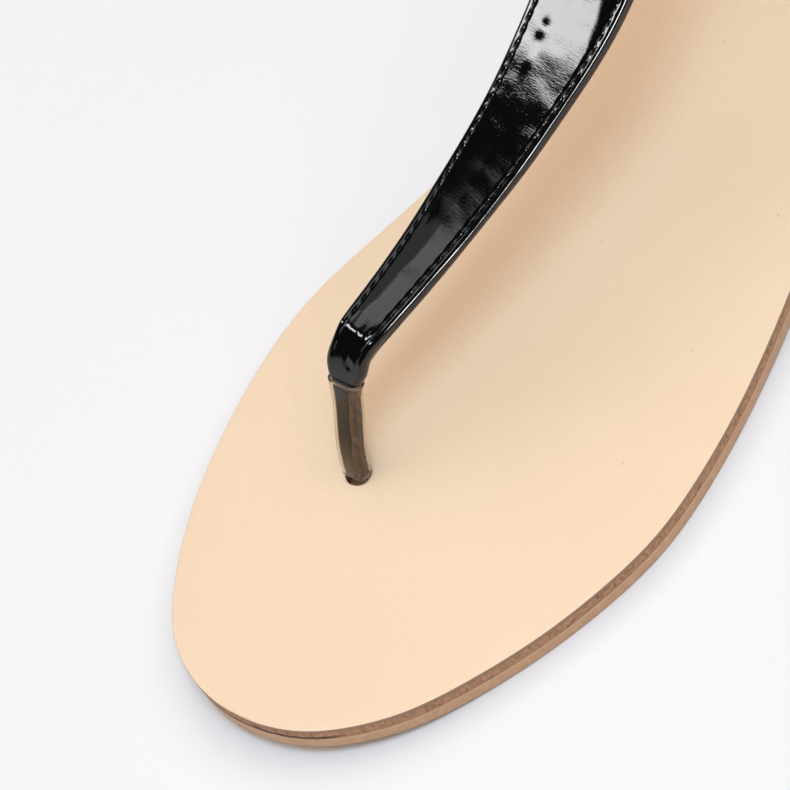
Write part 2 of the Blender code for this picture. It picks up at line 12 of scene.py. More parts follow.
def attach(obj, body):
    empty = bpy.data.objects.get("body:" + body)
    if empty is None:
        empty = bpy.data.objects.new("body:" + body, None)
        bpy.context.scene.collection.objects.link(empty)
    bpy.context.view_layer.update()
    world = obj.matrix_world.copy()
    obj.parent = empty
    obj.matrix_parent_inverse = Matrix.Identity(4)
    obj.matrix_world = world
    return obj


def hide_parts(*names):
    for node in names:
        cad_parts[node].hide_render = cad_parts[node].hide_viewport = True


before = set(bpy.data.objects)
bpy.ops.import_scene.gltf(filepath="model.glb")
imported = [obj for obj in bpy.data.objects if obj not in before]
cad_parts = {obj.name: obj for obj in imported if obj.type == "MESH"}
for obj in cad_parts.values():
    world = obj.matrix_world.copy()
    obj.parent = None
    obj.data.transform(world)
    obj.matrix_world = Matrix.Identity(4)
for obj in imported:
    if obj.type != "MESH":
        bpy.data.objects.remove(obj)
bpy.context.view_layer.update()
random.seed(7)

# Outsole: the layer that walks on the ground, cut from tan leather with a smooth dyed edge. Its outline
# comes from the last: a pointed oval at the toe, wide at the ball, drawn in at the arch. The toe springs up
# from the floor, and the arch rises to the heel lift.
MM = 0.001
UP = Vector((0, 0, 1))
LENGTH = 252 * MM
BALL_WIDTH = 86 * MM
OUTSOLE_THICKNESS = 3.3 * MM
TOE_SPRING = 4.0 * MM
HEEL_LIFT = 6.0 * MM
SPRING_ENDS = 0.175
TREAD_ENDS = 0.34
HEEL_BREAST = 0.745
INSET_GROWTH = 1.4
SOLE_ACROSS = 10
SOLE_ALONG = 230
OUTLINE = (
    (0.00, -0.064, -0.064),
    (0.01, -0.195, 0.076),
    (0.03, -0.285, 0.165),
    (0.06, -0.353, 0.248),
    (0.10, -0.413, 0.321),
    (0.15, -0.462, 0.395),
    (0.20, -0.488, 0.452),
    (0.25, -0.500, 0.490),
    (0.30, -0.493, 0.500),
    (0.40, -0.415, 0.480),
    (0.50, -0.335, 0.436),
    (0.60, -0.302, 0.393),
    (0.70, -0.318, 0.362),
    (0.80, -0.340, 0.348),
    (0.88, -0.344, 0.338),
    (0.95, -0.300, 0.288),
    (0.99, -0.170, 0.150),
    (1.00, -0.012, -0.012),
)


class Finish:
    """A socket of a material's nodes: sums on it add Math nodes, and node() adds any other."""

    def __init__(self, tree, socket):
        self.tree = tree
        self.socket = socket

    def node(self, kind, settings, values, output=0):
        made = self.tree.nodes.new(kind)
        stops = settings.pop("stops", None)
        for key, value in settings.items():
            setattr(made, key, value)
        if stops:
            elements = made.color_ramp.elements
            while len(elements) < len(stops):
                elements.new(1.0)
            for element, (position, colour) in zip(elements, stops):
                element.position = position
                element.color = (*colour, 1.0)
        for key, value in values.items():
            if isinstance(value, Finish):
                self.tree.links.new(value.socket, made.inputs[key])
            else:
                made.inputs[key].default_value = value
        return Finish(self.tree, made.outputs[output])

    def math(self, operation, first, second):
        return self.node("ShaderNodeMath", {"operation": operation}, {0: first, 1: second})

    def __add__(self, other):
        return self.math("ADD", self, other)

    def __radd__(self, other):
        return self.math("ADD", other, self)

    def __sub__(self, other):
        return self.math("SUBTRACT", self, other)

    def __rsub__(self, other):
        return self.math("SUBTRACT", other, self)

    def __mul__(self, other):
        return self.math("MULTIPLY", self, other)

    def between(self, low, high):
        """0 below low, 1 above high and a soft S between them; falls instead where low is the greater."""
        ends = {"Value": self, "From Min": min(low, high), "From Max": max(low, high)}
        ends.update({"To Min": 0.0, "To Max": 1.0} if low < high else {"To Min": 1.0, "To Max": 0.0})
        return self.node("ShaderNodeMapRange", {"interpolation_type": "SMOOTHSTEP"}, ends)

    def stretched(self, scale):
        """The same coordinates, each multiplied by its part of the scale."""
        return self.node("ShaderNodeMapping", {}, {"Vector": self, "Scale": scale})

    def noise(self, scale, detail, roughness):
        values = {"Vector": self, "Scale": scale, "Detail": detail, "Roughness": roughness}
        return self.node("ShaderNodeTexNoise", {}, values)

    def ramp(self, *stops):
        """The colours of (position, colour) stops, read off by this value."""
        return self.node("ShaderNodeValToRGB", {"stops": stops}, {"Fac": self})

    def mixed(self, factor, colour):
        """This colour turned into the other where the factor is 1."""
        other = colour if isinstance(colour, Finish) else (*colour, 1.0)
        return self.node("ShaderNodeMix", {"data_type": "RGBA"}, {"Factor": factor, 6: self, 7: other}, 2)


def new_finish(name, roughness, **fixed):
    """A material with fixed sockets set on its shader; gives it, its shader, and a start for its nodes."""
    made = bpy.data.materials.new(name)
    made.use_nodes = True
    tree = made.node_tree
    shader = tree.nodes["Principled BSDF"]
    shader.inputs["Roughness"].default_value = roughness
    for key, value in fixed.items():
        shader.inputs[key.replace("_", " ")].default_value = value
    place = Finish(tree, tree.nodes.new("ShaderNodeTexCoord").outputs["Object"])
    return made, shader, place


def feed(shader, height, **links):
    """Links values that change over the surface; height is a relief in metres."""
    for key, value in links.items():
        value.tree.links.new(value.socket, shader.inputs[key.replace("_", " ")])
    bump = height.node("ShaderNodeBump", {}, {"Height": height, "Distance": 1.0})
    height.tree.links.new(bump.socket, shader.inputs["Normal"])


def smooth(knots, values):
    """A natural cubic spline through the values at the knots, as a function of one number."""
    knots = np.asarray(knots, float)
    values = np.asarray(values, float)
    steps = np.diff(knots)
    slopes = (np.diff(values, axis=0).T / steps).T
    matrix = np.eye(len(knots))
    right = np.zeros_like(values)
    for i in range(1, len(knots) - 1):
        matrix[i, i - 1 : i + 2] = steps[i - 1], 2 * (steps[i - 1] + steps[i]), steps[i]
        right[i] = 6 * (slopes[i] - slopes[i - 1])
    bend = np.linalg.solve(matrix, right)

    def at(place):
        i = int(np.clip(np.searchsorted(knots, place) - 1, 0, len(steps) - 1))
        after = (place - knots[i]) / steps[i]
        before = 1 - after
        curve = (before**3 - before) * bend[i] + (after**3 - after) * bend[i + 1]
        return before * values[i] + after * values[i + 1] + curve * steps[i] ** 2 / 6

    return at


def ease(low, high, value):
    """0 at low, 1 at high and beyond, and a soft S between them."""
    share = min(1.0, max(0.0, (value - low) / (high - low)))
    return share * share * (3 - 2 * share)


def turn_of(along):
    """The angle round an oval at which it is that share of its length from the tip."""
    return math.acos(1 - 2 * along)


OUTLINE_TURNS = [turn_of(row[0]) for row in OUTLINE]
medial_edge = smooth(OUTLINE_TURNS, [row[1] * BALL_WIDTH for row in OUTLINE])
lateral_edge = smooth(OUTLINE_TURNS, [row[2] * BALL_WIDTH for row in OUTLINE])


def edge_point(turn, side, inset):
    """A point of the sole's outline, drawn in by the inset; side runs from -1, medial, to 1, lateral."""
    inward = inset * min(1.0, INSET_GROWTH * math.sin(turn))
    medial = float(medial_edge(turn)) + inward
    lateral = float(lateral_edge(turn)) - inward
    y = -(LENGTH / 2 - inset) * math.cos(turn)
    return medial + (lateral - medial) * (side + 1) / 2, y


def underside(y):
    """Height of the outsole's underside over the floor."""
    along = 0.5 + y / LENGTH
    spring = max(0.0, 1 - along / SPRING_ENDS) ** 2 * TOE_SPRING
    return spring + ease(TREAD_ENDS, HEEL_BREAST, along) * HEEL_LIFT


def mapped_grid(columns, rows, place):
    """A grid whose points are moved to place(across, along), both from 0 to 1, with meeting points joined."""
    bm = bmesh.new()
    bmesh.ops.create_grid(bm, x_segments=columns, y_segments=rows, size=1.0)
    for vertex in bm.verts:
        vertex.co = Vector(place((vertex.co.x + 1) / 2, (vertex.co.y + 1) / 2))
    bmesh.ops.remove_doubles(bm, verts=bm.verts, dist=0.005 * MM)
    return bm


def finish_piece(bm, name, material, slot, *nodes, sharp=40):
    """Turns a bmesh into a piece that rides on the sandal and stands for those CAD nodes."""
    mesh = bpy.data.meshes.new(name)
    bm.to_mesh(mesh)
    bm.free()
    mesh.shade_smooth()
    mesh.set_sharp_from_angle(angle=math.radians(sharp))
    mesh.materials.append(material)
    piece = bpy.data.objects.new(name, mesh)
    bpy.context.scene.collection.objects.link(piece)
    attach(piece, "root")
    if nodes:
        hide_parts(*nodes)
    return piece


def settle(piece):
    """Makes what the modifiers give the piece's own mesh."""
    shown = piece.evaluated_get(bpy.context.evaluated_depsgraph_get())
    mesh = bpy.data.meshes.new_from_object(shown)
    piece.modifiers.clear()
    piece.data = mesh


def layer(base, thickness, inset, rounding, first=0.0, follow=True):
    """One layer of the sole, with its height from its lower face kept on each vertex."""
    start = turn_of(first)

    def place(across, along):
        turn = start + (math.pi - start) * along
        x, y = edge_point(turn, 2 * across - 1, inset(turn))
        return x, y, base + (underside(y) if follow else 0.0)

    bm = mapped_grid(SOLE_ACROSS, SOLE_ALONG, place)
    raised = bmesh.ops.extrude_face_region(bm, geom=bm.faces[:])["geom"]
    top = [part for part in raised if isinstance(part, bmesh.types.BMVert)]
    bmesh.ops.translate(bm, verts=top, vec=UP * thickness)
    bmesh.ops.recalc_face_normals(bm, faces=bm.faces)
    rims = [edge for edge in bm.edges if edge.calc_face_angle(0.0) > math.radians(60)]
    bmesh.ops.bevel(
        bm, geom=rims, offset=rounding, segments=3, profile=0.5, affect="EDGES", material=-1
    )
    rise = bm.verts.layers.float.new("rise")
    for vertex in bm.verts:
        lower = base + (underside(vertex.co.y) if follow else 0.0)
        vertex[rise] = (vertex.co.z - lower) / thickness
    return bm


def no_inset(turn):
    """Layers that keep the outline itself."""
    return 0.0


tan_leather, shader, place = new_finish("tan_leather", 0.55)
rise = place.node("ShaderNodeAttribute", {"attribute_name": "rise"}, {}, 2)
face = place.node("ShaderNodeSeparateXYZ", {}, {"Vector": place.node("ShaderNodeNewGeometry", {}, {}, 1)}, 2)
mottle = place.noise(420, 4.0, 0.6)
fibres = place.stretched((700, 700, 160)).noise(1.0, 3.0, 0.6)
colour = (mottle * 0.6 + fibres * 0.4).ramp(
    (0.30, (0.550, 0.310, 0.168)), (0.52, (0.630, 0.365, 0.200)), (0.72, (0.725, 0.440, 0.252)),
)
colour = colour.mixed(rise.between(0.84, 0.95) * (1 - rise.between(0.985, 1.0)) * 0.55, (0.72, 0.56, 0.43))
colour = colour.mixed(rise.between(0.10, 0.0) * 0.35, (0.36, 0.21, 0.13))
sole_wear = place.noise(38, 5.0, 0.65).between(0.42, 0.66) * face.between(-0.6, -0.9)
colour = colour.mixed(sole_wear * 0.5, (0.33, 0.22, 0.155))
feed(shader, height=(mottle * 0.6 + fibres * 0.4) * 0.00009, Base_Color=colour)

finish_piece(
    layer(0.0, OUTSOLE_THICKNESS, no_inset, 0.35 * MM),
    "outsole_leather", tan_leather, "outsole_leather", "outsole",
)

# Midsole: fibrous brown board between the outsole and the insole, cut to the same outline. Its raw edge shows
# dark and light specks, and it is stained orange along the glue line. A round hole takes the toe post.
POST_ALONG = 0.1985
POST_ACROSS = -0.1535
POST_HOLE = 4.8 * MM
MIDSOLE_THICKNESS = 2.6 * MM
INSOLE_THICKNESS = 1.0 * MM
INSOLE_TOP = OUTSOLE_THICKNESS + MIDSOLE_THICKNESS + INSOLE_THICKNESS
POST_Y = (POST_ALONG - 0.5) * LENGTH
POST = Vector((POST_ACROSS * BALL_WIDTH, POST_Y, underside(POST_Y) + INSOLE_TOP))


def loose_object(name, bm):
    """Turns a bmesh into an object that isn't a piece of the sandal."""
    mesh = bpy.data.meshes.new(name)
    bm.to_mesh(mesh)
    bm.free()
    made = bpy.data.objects.new(name, mesh)
    bpy.context.scene.collection.objects.link(made)
    return made


def post_hole(piece):
    """Punches the toe post's hole through a layer."""
    bm = bmesh.new()
    bmesh.ops.create_cone(
        bm, cap_ends=True, segments=48, radius1=POST_HOLE / 2, radius2=POST_HOLE / 2, depth=6 * INSOLE_TOP,
        matrix=Matrix.Translation(POST),
    )
    punch = loose_object("punch", bm)
    cut = piece.modifiers.new("hole", "BOOLEAN")
    cut.object = punch
    cut.solver = "EXACT"
    settle(piece)
    bpy.data.objects.remove(punch)
    piece.data.set_sharp_from_angle(angle=math.radians(40))


fibre_board, shader, place = new_finish("fibre_board", 0.75)
rise = place.node("ShaderNodeAttribute", {"attribute_name": "rise"}, {}, 2)
streaks = place.stretched((1500, 1500, 700)).noise(1.0, 4.0, 0.65)
clumps = place.noise(650, 2.0, 0.5)
colour = (streaks * 0.7 + clumps * 0.3).ramp(
    (0.36, (0.230, 0.112, 0.062)), (0.47, (0.430, 0.215, 0.113)), (0.58, (0.535, 0.278, 0.150)),
    (0.72, (0.690, 0.410, 0.235)),
)
glue = rise.between(0.34, 0.16) * clumps.between(0.30, 0.56)
colour = colour.mixed(glue * 0.75, (0.50, 0.225, 0.070))
# A ragged split in the board's edge near the toe. The split is real, but it is drawn only as a near-black
# line in the colour, so its darkness is painted shade inside the split.
along = place.node("ShaderNodeSeparateXYZ", {}, {"Vector": place}, 1)
split_noise = place.noise(500, 2.0, 0.5)
ragged = rise + split_noise * 0.35
split_shade = along.between(-0.1180, -0.1215) * ragged.between(0.22, 0.32) * ragged.between(0.66, 0.54)
colour = colour.mixed(split_shade * 0.9, (0.045, 0.020, 0.016))
colour = colour.mixed(rise.between(0.90, 0.99) * 0.4, (0.30, 0.175, 0.11))
feed(shader, height=(streaks * 0.7 + clumps * 0.3) * 0.00022, Base_Color=colour)

midsole = finish_piece(
    layer(OUTSOLE_THICKNESS, MIDSOLE_THICKNESS, no_inset, 0.12 * MM),
    "midsole_board", fibre_board, "midsole_board", "midsole",
)
post_hole(midsole)

# Insole: smooth beige leather 1 mm thick, glued over the board, with a fine grain, a few pores, and an edge
# stained brown with the board. It draws in at the heel, where the counter stands outside it.
COUNTER_THICKNESS = 1.8 * MM
COUNTER_MARGIN = 1.2 * MM
COUNTER_STARTS = 0.775
COUNTER_LEAD = 0.05


def counter_inset(turn):
    """How far the insole draws in beside the heel counter."""
    along = (1 - math.cos(turn)) / 2
    return (COUNTER_MARGIN + COUNTER_THICKNESS) * ease(COUNTER_STARTS - COUNTER_LEAD, COUNTER_STARTS, along)


beige_leather, shader, place = new_finish("beige_leather", 0.5)
rise = place.node("ShaderNodeAttribute", {"attribute_name": "rise"}, {}, 2)
face = place.node("ShaderNodeSeparateXYZ", {}, {"Vector": place.node("ShaderNodeNewGeometry", {}, {}, 1)}, 2)
grain = place.noise(1700, 3.0, 0.6)
cloud = place.noise(26, 3.0, 0.5)
pores = place.node("ShaderNodeTexVoronoi", {}, {"Vector": place, "Scale": 210.0})
rarity = place.noise(160, 1.0, 0.5)
specks = pores.between(0.075, 0.03) * rarity.between(0.56, 0.62)
colour = (grain * 0.55 + cloud * 0.45).ramp(
    (0.30, (0.812, 0.619, 0.443)), (0.50, (0.846, 0.650, 0.470)), (0.75, (0.870, 0.677, 0.497)),
)
colour = colour.mixed(specks * 0.45, (0.52, 0.33, 0.20))
colour = colour.mixed(face.between(0.82, 0.45), (0.36, 0.195, 0.115))
colour = colour.mixed(rise.between(0.2, 0.0) * 0.5, (0.22, 0.11, 0.065))
feed(
    shader, height=grain * 0.00003 - specks * 0.00004, Base_Color=colour,
    Roughness=0.42 + grain * 0.16,
)

insole = finish_piece(
    layer(OUTSOLE_THICKNESS + MIDSOLE_THICKNESS, INSOLE_THICKNESS, counter_inset, 0.22 * MM),
    "insole_leather", beige_leather, "insole_leather", "insole",
)
post_hole(insole)

# Heel lift: a low block of tan rubber under the heel, with shallow grip bars on its underside. It is outside
# the photograph, so it is the plain kind of such a flat sandal.
LIFT_STARTS = 0.765
LIFT_INSET = 0.6 * MM


def lift_inset(turn):
    """The lift stands a little inside the outsole."""
    return LIFT_INSET


tan_rubber, shader, place = new_finish("tan_rubber", 0.7)
dust = place.noise(300, 4.0, 0.6)
down = place.node("ShaderNodeSeparateXYZ", {}, {"Vector": place.node("ShaderNodeNewGeometry", {}, {}, 1)}, 2)
bars = place.node("ShaderNodeTexWave", {"bands_direction": "Y"}, {"Vector": place, "Scale": 95.0})
colour = dust.ramp((0.3, (0.31, 0.20, 0.135)), (0.7, (0.40, 0.27, 0.185)))
under = down.between(-0.7, -0.9)
feed(shader, height=bars.between(0.3, 0.6) * under * 0.0004 + dust * 0.00005, Base_Color=colour)

finish_piece(
    layer(0.0, HEEL_LIFT, lift_inset, 0.4 * MM, LIFT_STARTS, follow=False),
    "heel_lift_rubber", tan_rubber, "heel_rubber", "heel_lift",
)

# T-strap: black patent leather turned round its edges, crowned between two rows of stitches, on a dark brown
# lining. It rises from the toe post over the foot to the ankle strap and widens on the way.
STRAP_WIDTH = 18.5 * MM
STRAP_THICKNESS = 2.2 * MM
POST_WIDTH = 4.2 * MM
POST_DEPTH = 2.7 * MM
STRAP_REACH = 107.5 * MM
STRAP_RISE = 80.0 * MM
STRAP_DRIFT = 13.0 * MM
STRAP_ROWS = 420
STRAP_STEP = 0.004
STRAP_TURN_STARTS = 0.12
STRAP_TURN_ENDS = 0.45
LINING_THICKNESS = 0.6 * MM
LINING_STARTS = 0.215
LINING_SHOWS = 0.12 * MM
LINING_SHOWS_FROM = (0.25, 0.33)
LINING_DRAWN_IN = 0.8 * MM
LINING_DRAWN_IN_TO = (0.21, 0.27)
STITCH_INSET = 1.5 * MM
STITCH_PITCH = 2.6 * MM
STITCHES_START = 0.2
STITCHES_END = 0.975
SEWN_FROM = (0.185, 0.25)
PAD = 0.10 * MM
PAD_FROM = (0.22, 0.45)
FILLS_SLEEVE = 0.5 * MM
FILLS_SLEEVE_FROM = (0.004, 0.02)
FILLS_SLEEVE_TO = (0.18, 0.215)
BULGE = 0.6 * MM
BULGE_FROM = (0.166, 0.172)
BULGE_TO = (0.178, 0.215)
GROOVE_WIDTH = 0.30 * MM
GROOVE_DEPTH = 0.20 * MM
STRAP_COLUMNS = ("reach", "rise", "drift", "width", "depth", "crown")
STRAP = (
    (0.000, 0.000, 0.00, 0.000, 0.000, 0.00),
    (0.018, 0.100, -0.01, 0.000, 0.000, 0.00),
    (0.049, 0.195, -0.03, 0.008, 0.000, 0.00),
    (0.073, 0.275, -0.04, 0.095, 0.100, 0.00),
    (0.085, 0.304, -0.03, 0.210, 0.300, 0.01),
    (0.107, 0.340, 0.02, 0.280, 0.600, 0.03),
    (0.152, 0.377, 0.13, 0.340, 0.900, 0.07),
    (0.212, 0.400, 0.25, 0.392, 1.000, 0.09),
    (0.297, 0.432, 0.41, 0.475, 1.000, 0.09),
    (0.387, 0.469, 0.56, 0.580, 1.000, 0.09),
    (0.472, 0.506, 0.70, 0.672, 1.000, 0.10),
    (0.552, 0.546, 0.81, 0.750, 1.000, 0.12),
    (0.632, 0.592, 0.90, 0.865, 1.000, 0.18),
    (0.722, 0.652, 0.97, 0.965, 1.000, 0.28),
    (0.807, 0.726, 0.99, 0.993, 1.000, 0.42),
    (0.882, 0.812, 1.00, 1.000, 1.000, 0.58),
    (0.942, 0.903, 1.00, 1.000, 1.060, 0.72),
    (0.977, 0.975, 0.99, 1.000, 1.120, 0.76),
)
# How far the patent's face stands over or under its plain curve in millimetres, by share of the length: it is
# gathered where it bends down to the toe post and lies a little hollow over the toes
FACE_WAVE = (
    (0.00, 0.00), (0.12, 0.00), (0.17, 0.00), (0.19, 0.14), (0.21, 0.43), (0.225, 0.68), (0.236, 0.78),
    (0.243, 0.60), (0.25, 0.42), (0.26, 0.22), (0.27, 0.09), (0.285, 0.00), (0.34, -0.13), (0.41, -0.40),
    (0.43, -0.39), (0.48, -0.27), (0.54, -0.11), (0.60, -0.03), (0.66, 0.00), (0.80, 0.00), (1.00, 0.00),
)
# Small dents: share of the length, share of the half width, radii along and across, and depth in millimetres
DENTS = (
    (0.674, -0.38, 1.7, 0.9, 0.13),
    (0.634, -0.34, 2.4, 0.7, 0.10),
    (0.735, -0.10, 2.5, 1.6, 0.12),
    (0.404, -0.52, 2.8, 0.8, 0.07),
    (0.196, 0.30, 0.8, 0.7, 0.14),
    (0.214, 0.55, 2.2, 0.5, 0.12),
    (0.208, 0.05, 1.8, 0.4, 0.08),
    (0.232, -0.45, 2.4, 0.5, 0.10),
    (0.227, 0.08, 2.8, 0.35, 0.10),
    (0.238, 0.48, 2.0, 0.45, 0.10),
)


def strap_curves():
    """The T-strap's centre line and section sizes along a share of its length, and that length."""
    rows = [dict(zip(STRAP_COLUMNS, row)) for row in STRAP]
    spans = Vector((STRAP_DRIFT, STRAP_REACH, STRAP_RISE))
    points = [POST + spans * Vector((row["drift"], row["reach"], row["rise"])) for row in rows]
    lengths = [0.0]
    for before, after in zip(points, points[1:]):
        lengths.append(lengths[-1] + (after - before).length)
    shares = [length / lengths[-1] for length in lengths]
    widths = [POST_WIDTH + row["width"] * (STRAP_WIDTH - POST_WIDTH) for row in rows]
    depths = [POST_DEPTH + row["depth"] * (STRAP_THICKNESS - POST_DEPTH) for row in rows]
    crowns = [row["crown"] * STRAP_THICKNESS for row in rows]
    sizes = smooth(shares, list(zip(widths, depths, crowns)))
    return smooth(shares, [tuple(point) for point in points]), sizes, lengths[-1]


STRAP_LINE, STRAP_SIZES, STRAP_LENGTH = strap_curves()


def strap_place(share):
    """The T-strap's centre, its directions across and out of it, and its width, depth and crown."""
    centre = Vector(STRAP_LINE(share))
    before, after = max(0.0, share - STRAP_STEP), min(1.0, share + STRAP_STEP)
    ahead = (Vector(STRAP_LINE(after)) - Vector(STRAP_LINE(before))).normalized()
    square = Vector((ahead.y, -ahead.x, 0.0)).normalized()
    across = Vector((1, 0, 0)).lerp(square, ease(STRAP_TURN_STARTS, STRAP_TURN_ENDS, share))
    across = (across - ahead * across.dot(ahead)).normalized()
    width, depth, crown = (float(size) for size in STRAP_SIZES(share))
    return centre, across, across.cross(ahead), width, depth, crown


def padding(a, width, along, stitched, pad, inset=STITCH_INSET):
    """Height of the patent over its plain face: a crown between the stitch rows, which pull it down."""
    seam = width / 2 - inset
    pull = 0.6 + 0.4 * math.cos(2 * math.pi * along / STITCH_PITCH)
    groove = math.exp(-(((abs(a) - seam) / GROOVE_WIDTH) ** 2)) * GROOVE_DEPTH * pull
    between = max(0.0, 1 - (a / seam) ** 2) * pad if seam > 0 else 0.0
    return (between - groove) * stitched


face_wave = smooth([row[0] for row in FACE_WAVE], [row[1] * MM for row in FACE_WAVE])


def worn(a, width, share):
    """Height that wear gives the T-strap's face at a place: its long wave and its dents."""
    height = float(face_wave(share))
    for at, side, long, wide, deep in DENTS:
        away = ((share - at) * STRAP_LENGTH / (long * MM)) ** 2 + ((a - side * width / 2) / (wide * MM)) ** 2
        if away < 6:
            height -= deep * MM * math.exp(-away)
    return height


def band_section(width, depth, raised, flats, corner):
    """A strap's section as (across, out) pairs, anticlockwise, with its outer face lifted by raised(a)."""
    radius = min(0.46 * depth, 0.48 * width)
    half, high = width / 2 - radius, depth / 2 - radius
    points = []
    for start, side, top in ((0, 1, 1), (90, -1, 1), (180, -1, -1), (270, 1, -1)):
        for step in range(corner):
            angle = math.radians(start + 90 * step / (corner - 1))
            points.append((side * half + radius * math.cos(angle), top * high + radius * math.sin(angle)))
        if side == top:
            turns = [math.pi * i / flats for i in range(1, flats)]
            points += [(side * half * math.cos(turn), top * depth / 2) for turn in turns]
    return [(a, b + raised(a) * ease(-0.2 * depth, 0.5 * depth, b)) for a, b in points]


def swept(rows, closed=True):
    """A skin through rows of (centre, across, out, section, along), with millimetres of both as its UV."""
    size = len(rows[0][3])

    def place(around, along):
        centre, across, out, section, _ = rows[round(along * (len(rows) - 1))]
        a, b = section[round(around * size) % size]
        return centre + across * a + out * b

    bm = bmesh.new()
    bmesh.ops.create_grid(bm, x_segments=size, y_segments=len(rows) - 1, size=1.0)
    shares = {vertex.index: ((vertex.co.x + 1) / 2, (vertex.co.y + 1) / 2) for vertex in bm.verts}
    uv = bm.loops.layers.uv.new("skin")
    for face in bm.faces:
        for loop in face.loops:
            around, along = shares[loop.vert.index]
            row = rows[round(along * (len(rows) - 1))]
            loop[uv].uv = (row[3][round(around * size) % size][0] / MM, row[4] / MM)
    for vertex in bm.verts:
        vertex.co = place(*shares[vertex.index])
    bmesh.ops.remove_doubles(bm, verts=bm.verts, dist=0.004 * MM)
    if closed:
        bmesh.ops.holes_fill(bm, edges=[edge for edge in bm.edges if edge.is_boundary], sides=0)
    bmesh.ops.recalc_face_normals(bm, faces=bm.faces)
    return bm


# The patent's film is glassy, with fine wrinkles across the strap that are read from its own UV
black_patent, shader, place = new_finish("black_patent", 0.05)
skin = place.node("ShaderNodeUVMap", {"uv_map": "skin"}, {})
wrinkles = skin.stretched((0.8, 3.4, 1)).noise(1.0, 3.0, 0.6)
ripple = skin.stretched((0.10, 0.16, 1)).noise(1.0, 1.0, 0.5)
dust = skin.noise(2.3, 6.0, 0.7).between(0.60, 0.80)
shader.inputs["Base Color"].default_value = (0.0012, 0.0012, 0.0014, 1.0)
feed(shader, height=wrinkles * 0.0000075 + ripple * 0.00013, Roughness=0.035 + dust * 0.10)

brown_lining, shader, place = new_finish("brown_lining", 0.7)
nap = place.noise(900, 4.0, 0.6)
colour = nap.ramp((0.3, (0.055, 0.030, 0.020)), (0.7, (0.105, 0.062, 0.042)))
feed(shader, height=nap * 0.0001, Base_Color=colour)

patent_rows, lining_rows, seams = [], [], []
for i in range(STRAP_ROWS + 1):
    share = i / STRAP_ROWS
    centre, across, out, width, depth, crown = strap_place(share)
    along = share * STRAP_LENGTH
    stitched = ease(*SEWN_FROM, share)
    width += FILLS_SLEEVE * ease(*FILLS_SLEEVE_FROM, share) * (1 - ease(*FILLS_SLEEVE_TO, share))
    width += BULGE * ease(*BULGE_FROM, share) * (1 - ease(*BULGE_TO, share))
    pad = PAD * ease(*PAD_FROM, share)
    film = depth - LINING_THICKNESS * stitched
    lift = (depth - film) / 2

    def curved(section, lift, width=width, crown=crown):
        return [(a, b + lift - crown * (2 * a / width) ** 2) for a, b in section]

    sewn = along - STITCHES_START * STRAP_LENGTH
    face = band_section(
        width, film, lambda a: padding(a, width, sewn, stitched, pad) + worn(a, width, share), 48, 6
    )
    patent_rows.append((centre, across, out, curved(face, lift=lift), along))
    if share > LINING_STARTS:
        shown = LINING_SHOWS * ease(*LINING_SHOWS_FROM, share)
        drawn_in = LINING_DRAWN_IN * (1 - ease(*LINING_DRAWN_IN_TO, share))
        backing = band_section(width + shown - drawn_in, LINING_THICKNESS, lambda a: 0.0, 12, 3)
        lining_rows.append((centre, across, out, curved(backing, lift=-film / 2), along))
    seams.append((centre, across, out, width, film / 2 + lift + float(face_wave(share)), crown, along))

finish_piece(swept(patent_rows), "t_strap_patent", black_patent, "black_patent", "upper", sharp=60)
finish_piece(swept(lining_rows), "t_strap_lining", brown_lining, "black_patent", "upper", sharp=60)

# Stitches: two rows of black thread on the T-strap, one a little inside each edge. Each stitch lies in the
# groove it pulls into the patent, a little askew, and both ends go down into the leather.
STITCH_LENGTH = 2.0 * MM
STITCH_THREAD = 0.38 * MM
STITCH_SINK = 0.06 * MM
STITCH_LEAN = (5, 12)

black_thread, shader, place = new_finish("black_thread", 0.42)
twist = place.noise(2600, 2.0, 0.5)
colour = twist.ramp((0.35, (0.003, 0.003, 0.003)), (0.7, (0.022, 0.022, 0.023)))
feed(shader, height=twist * 0.00004, Base_Color=colour)


def add_stitches(bm, rows, inset, first, last):
    """Threads along both edges, between two places along rows of a strap's line and sizes."""
    places = np.array([row[6] for row in rows])
    for side in (-1, 1):
        for k in range(int((last - first) / STITCH_PITCH)):
            at = first + (k + 0.5) * STITCH_PITCH
            row = rows[int(np.argmin(abs(places - at)))]
            after = rows[min(len(rows) - 1, int(np.argmin(abs(places - at - STITCH_PITCH / 2))))]
            centre, across, out, width, face, crown, _ = row
            ahead = (after[0] - centre).normalized()
            a = side * (width / 2 - inset)
            b = face - crown * (2 * a / width) ** 2 - STITCH_SINK
            tilt = -crown * 8 * a / width**2
            lean = math.radians(random.uniform(*STITCH_LEAN)) * side
            along = (ahead * math.cos(lean) + across * math.sin(lean)).normalized()
            up = (out - across * tilt).normalized()
            turn = Matrix((along.cross(up), along, up)).transposed().to_4x4()
            size = Matrix.Diagonal((STITCH_THREAD / 2, STITCH_LENGTH / 2, STITCH_THREAD / 2, 1))
            bmesh.ops.create_uvsphere(
                bm, u_segments=8, v_segments=6, radius=1.0,
                matrix=Matrix.Translation(centre + across * a + out * b) @ turn @ size,
            )


bm = bmesh.new()
add_stitches(bm, seams, STITCH_INSET, STITCHES_START * STRAP_LENGTH, STITCHES_END * STRAP_LENGTH)
finish_piece(bm, "t_strap_stitches", black_thread, "black_patent", sharp=80)

# Toe post: the strap's lower end folded on itself, so that its raw brown leather shows along the lateral
# corner, wandering a little where the patent is skived. It goes down through the insole and midsole.
RAW_TOP = 0.165
RAW_STARTS = 0.60
RAW_ENDS = 1.135
RAW_TURNS = 0.62
RAW_SLOPE = 0.9
RAW_PROUD = 0.14 * MM
RAW_ON_SIDE = 0.75 * MM
RAW_SUNK = 0.5 * MM
RAW_ROWS = 40

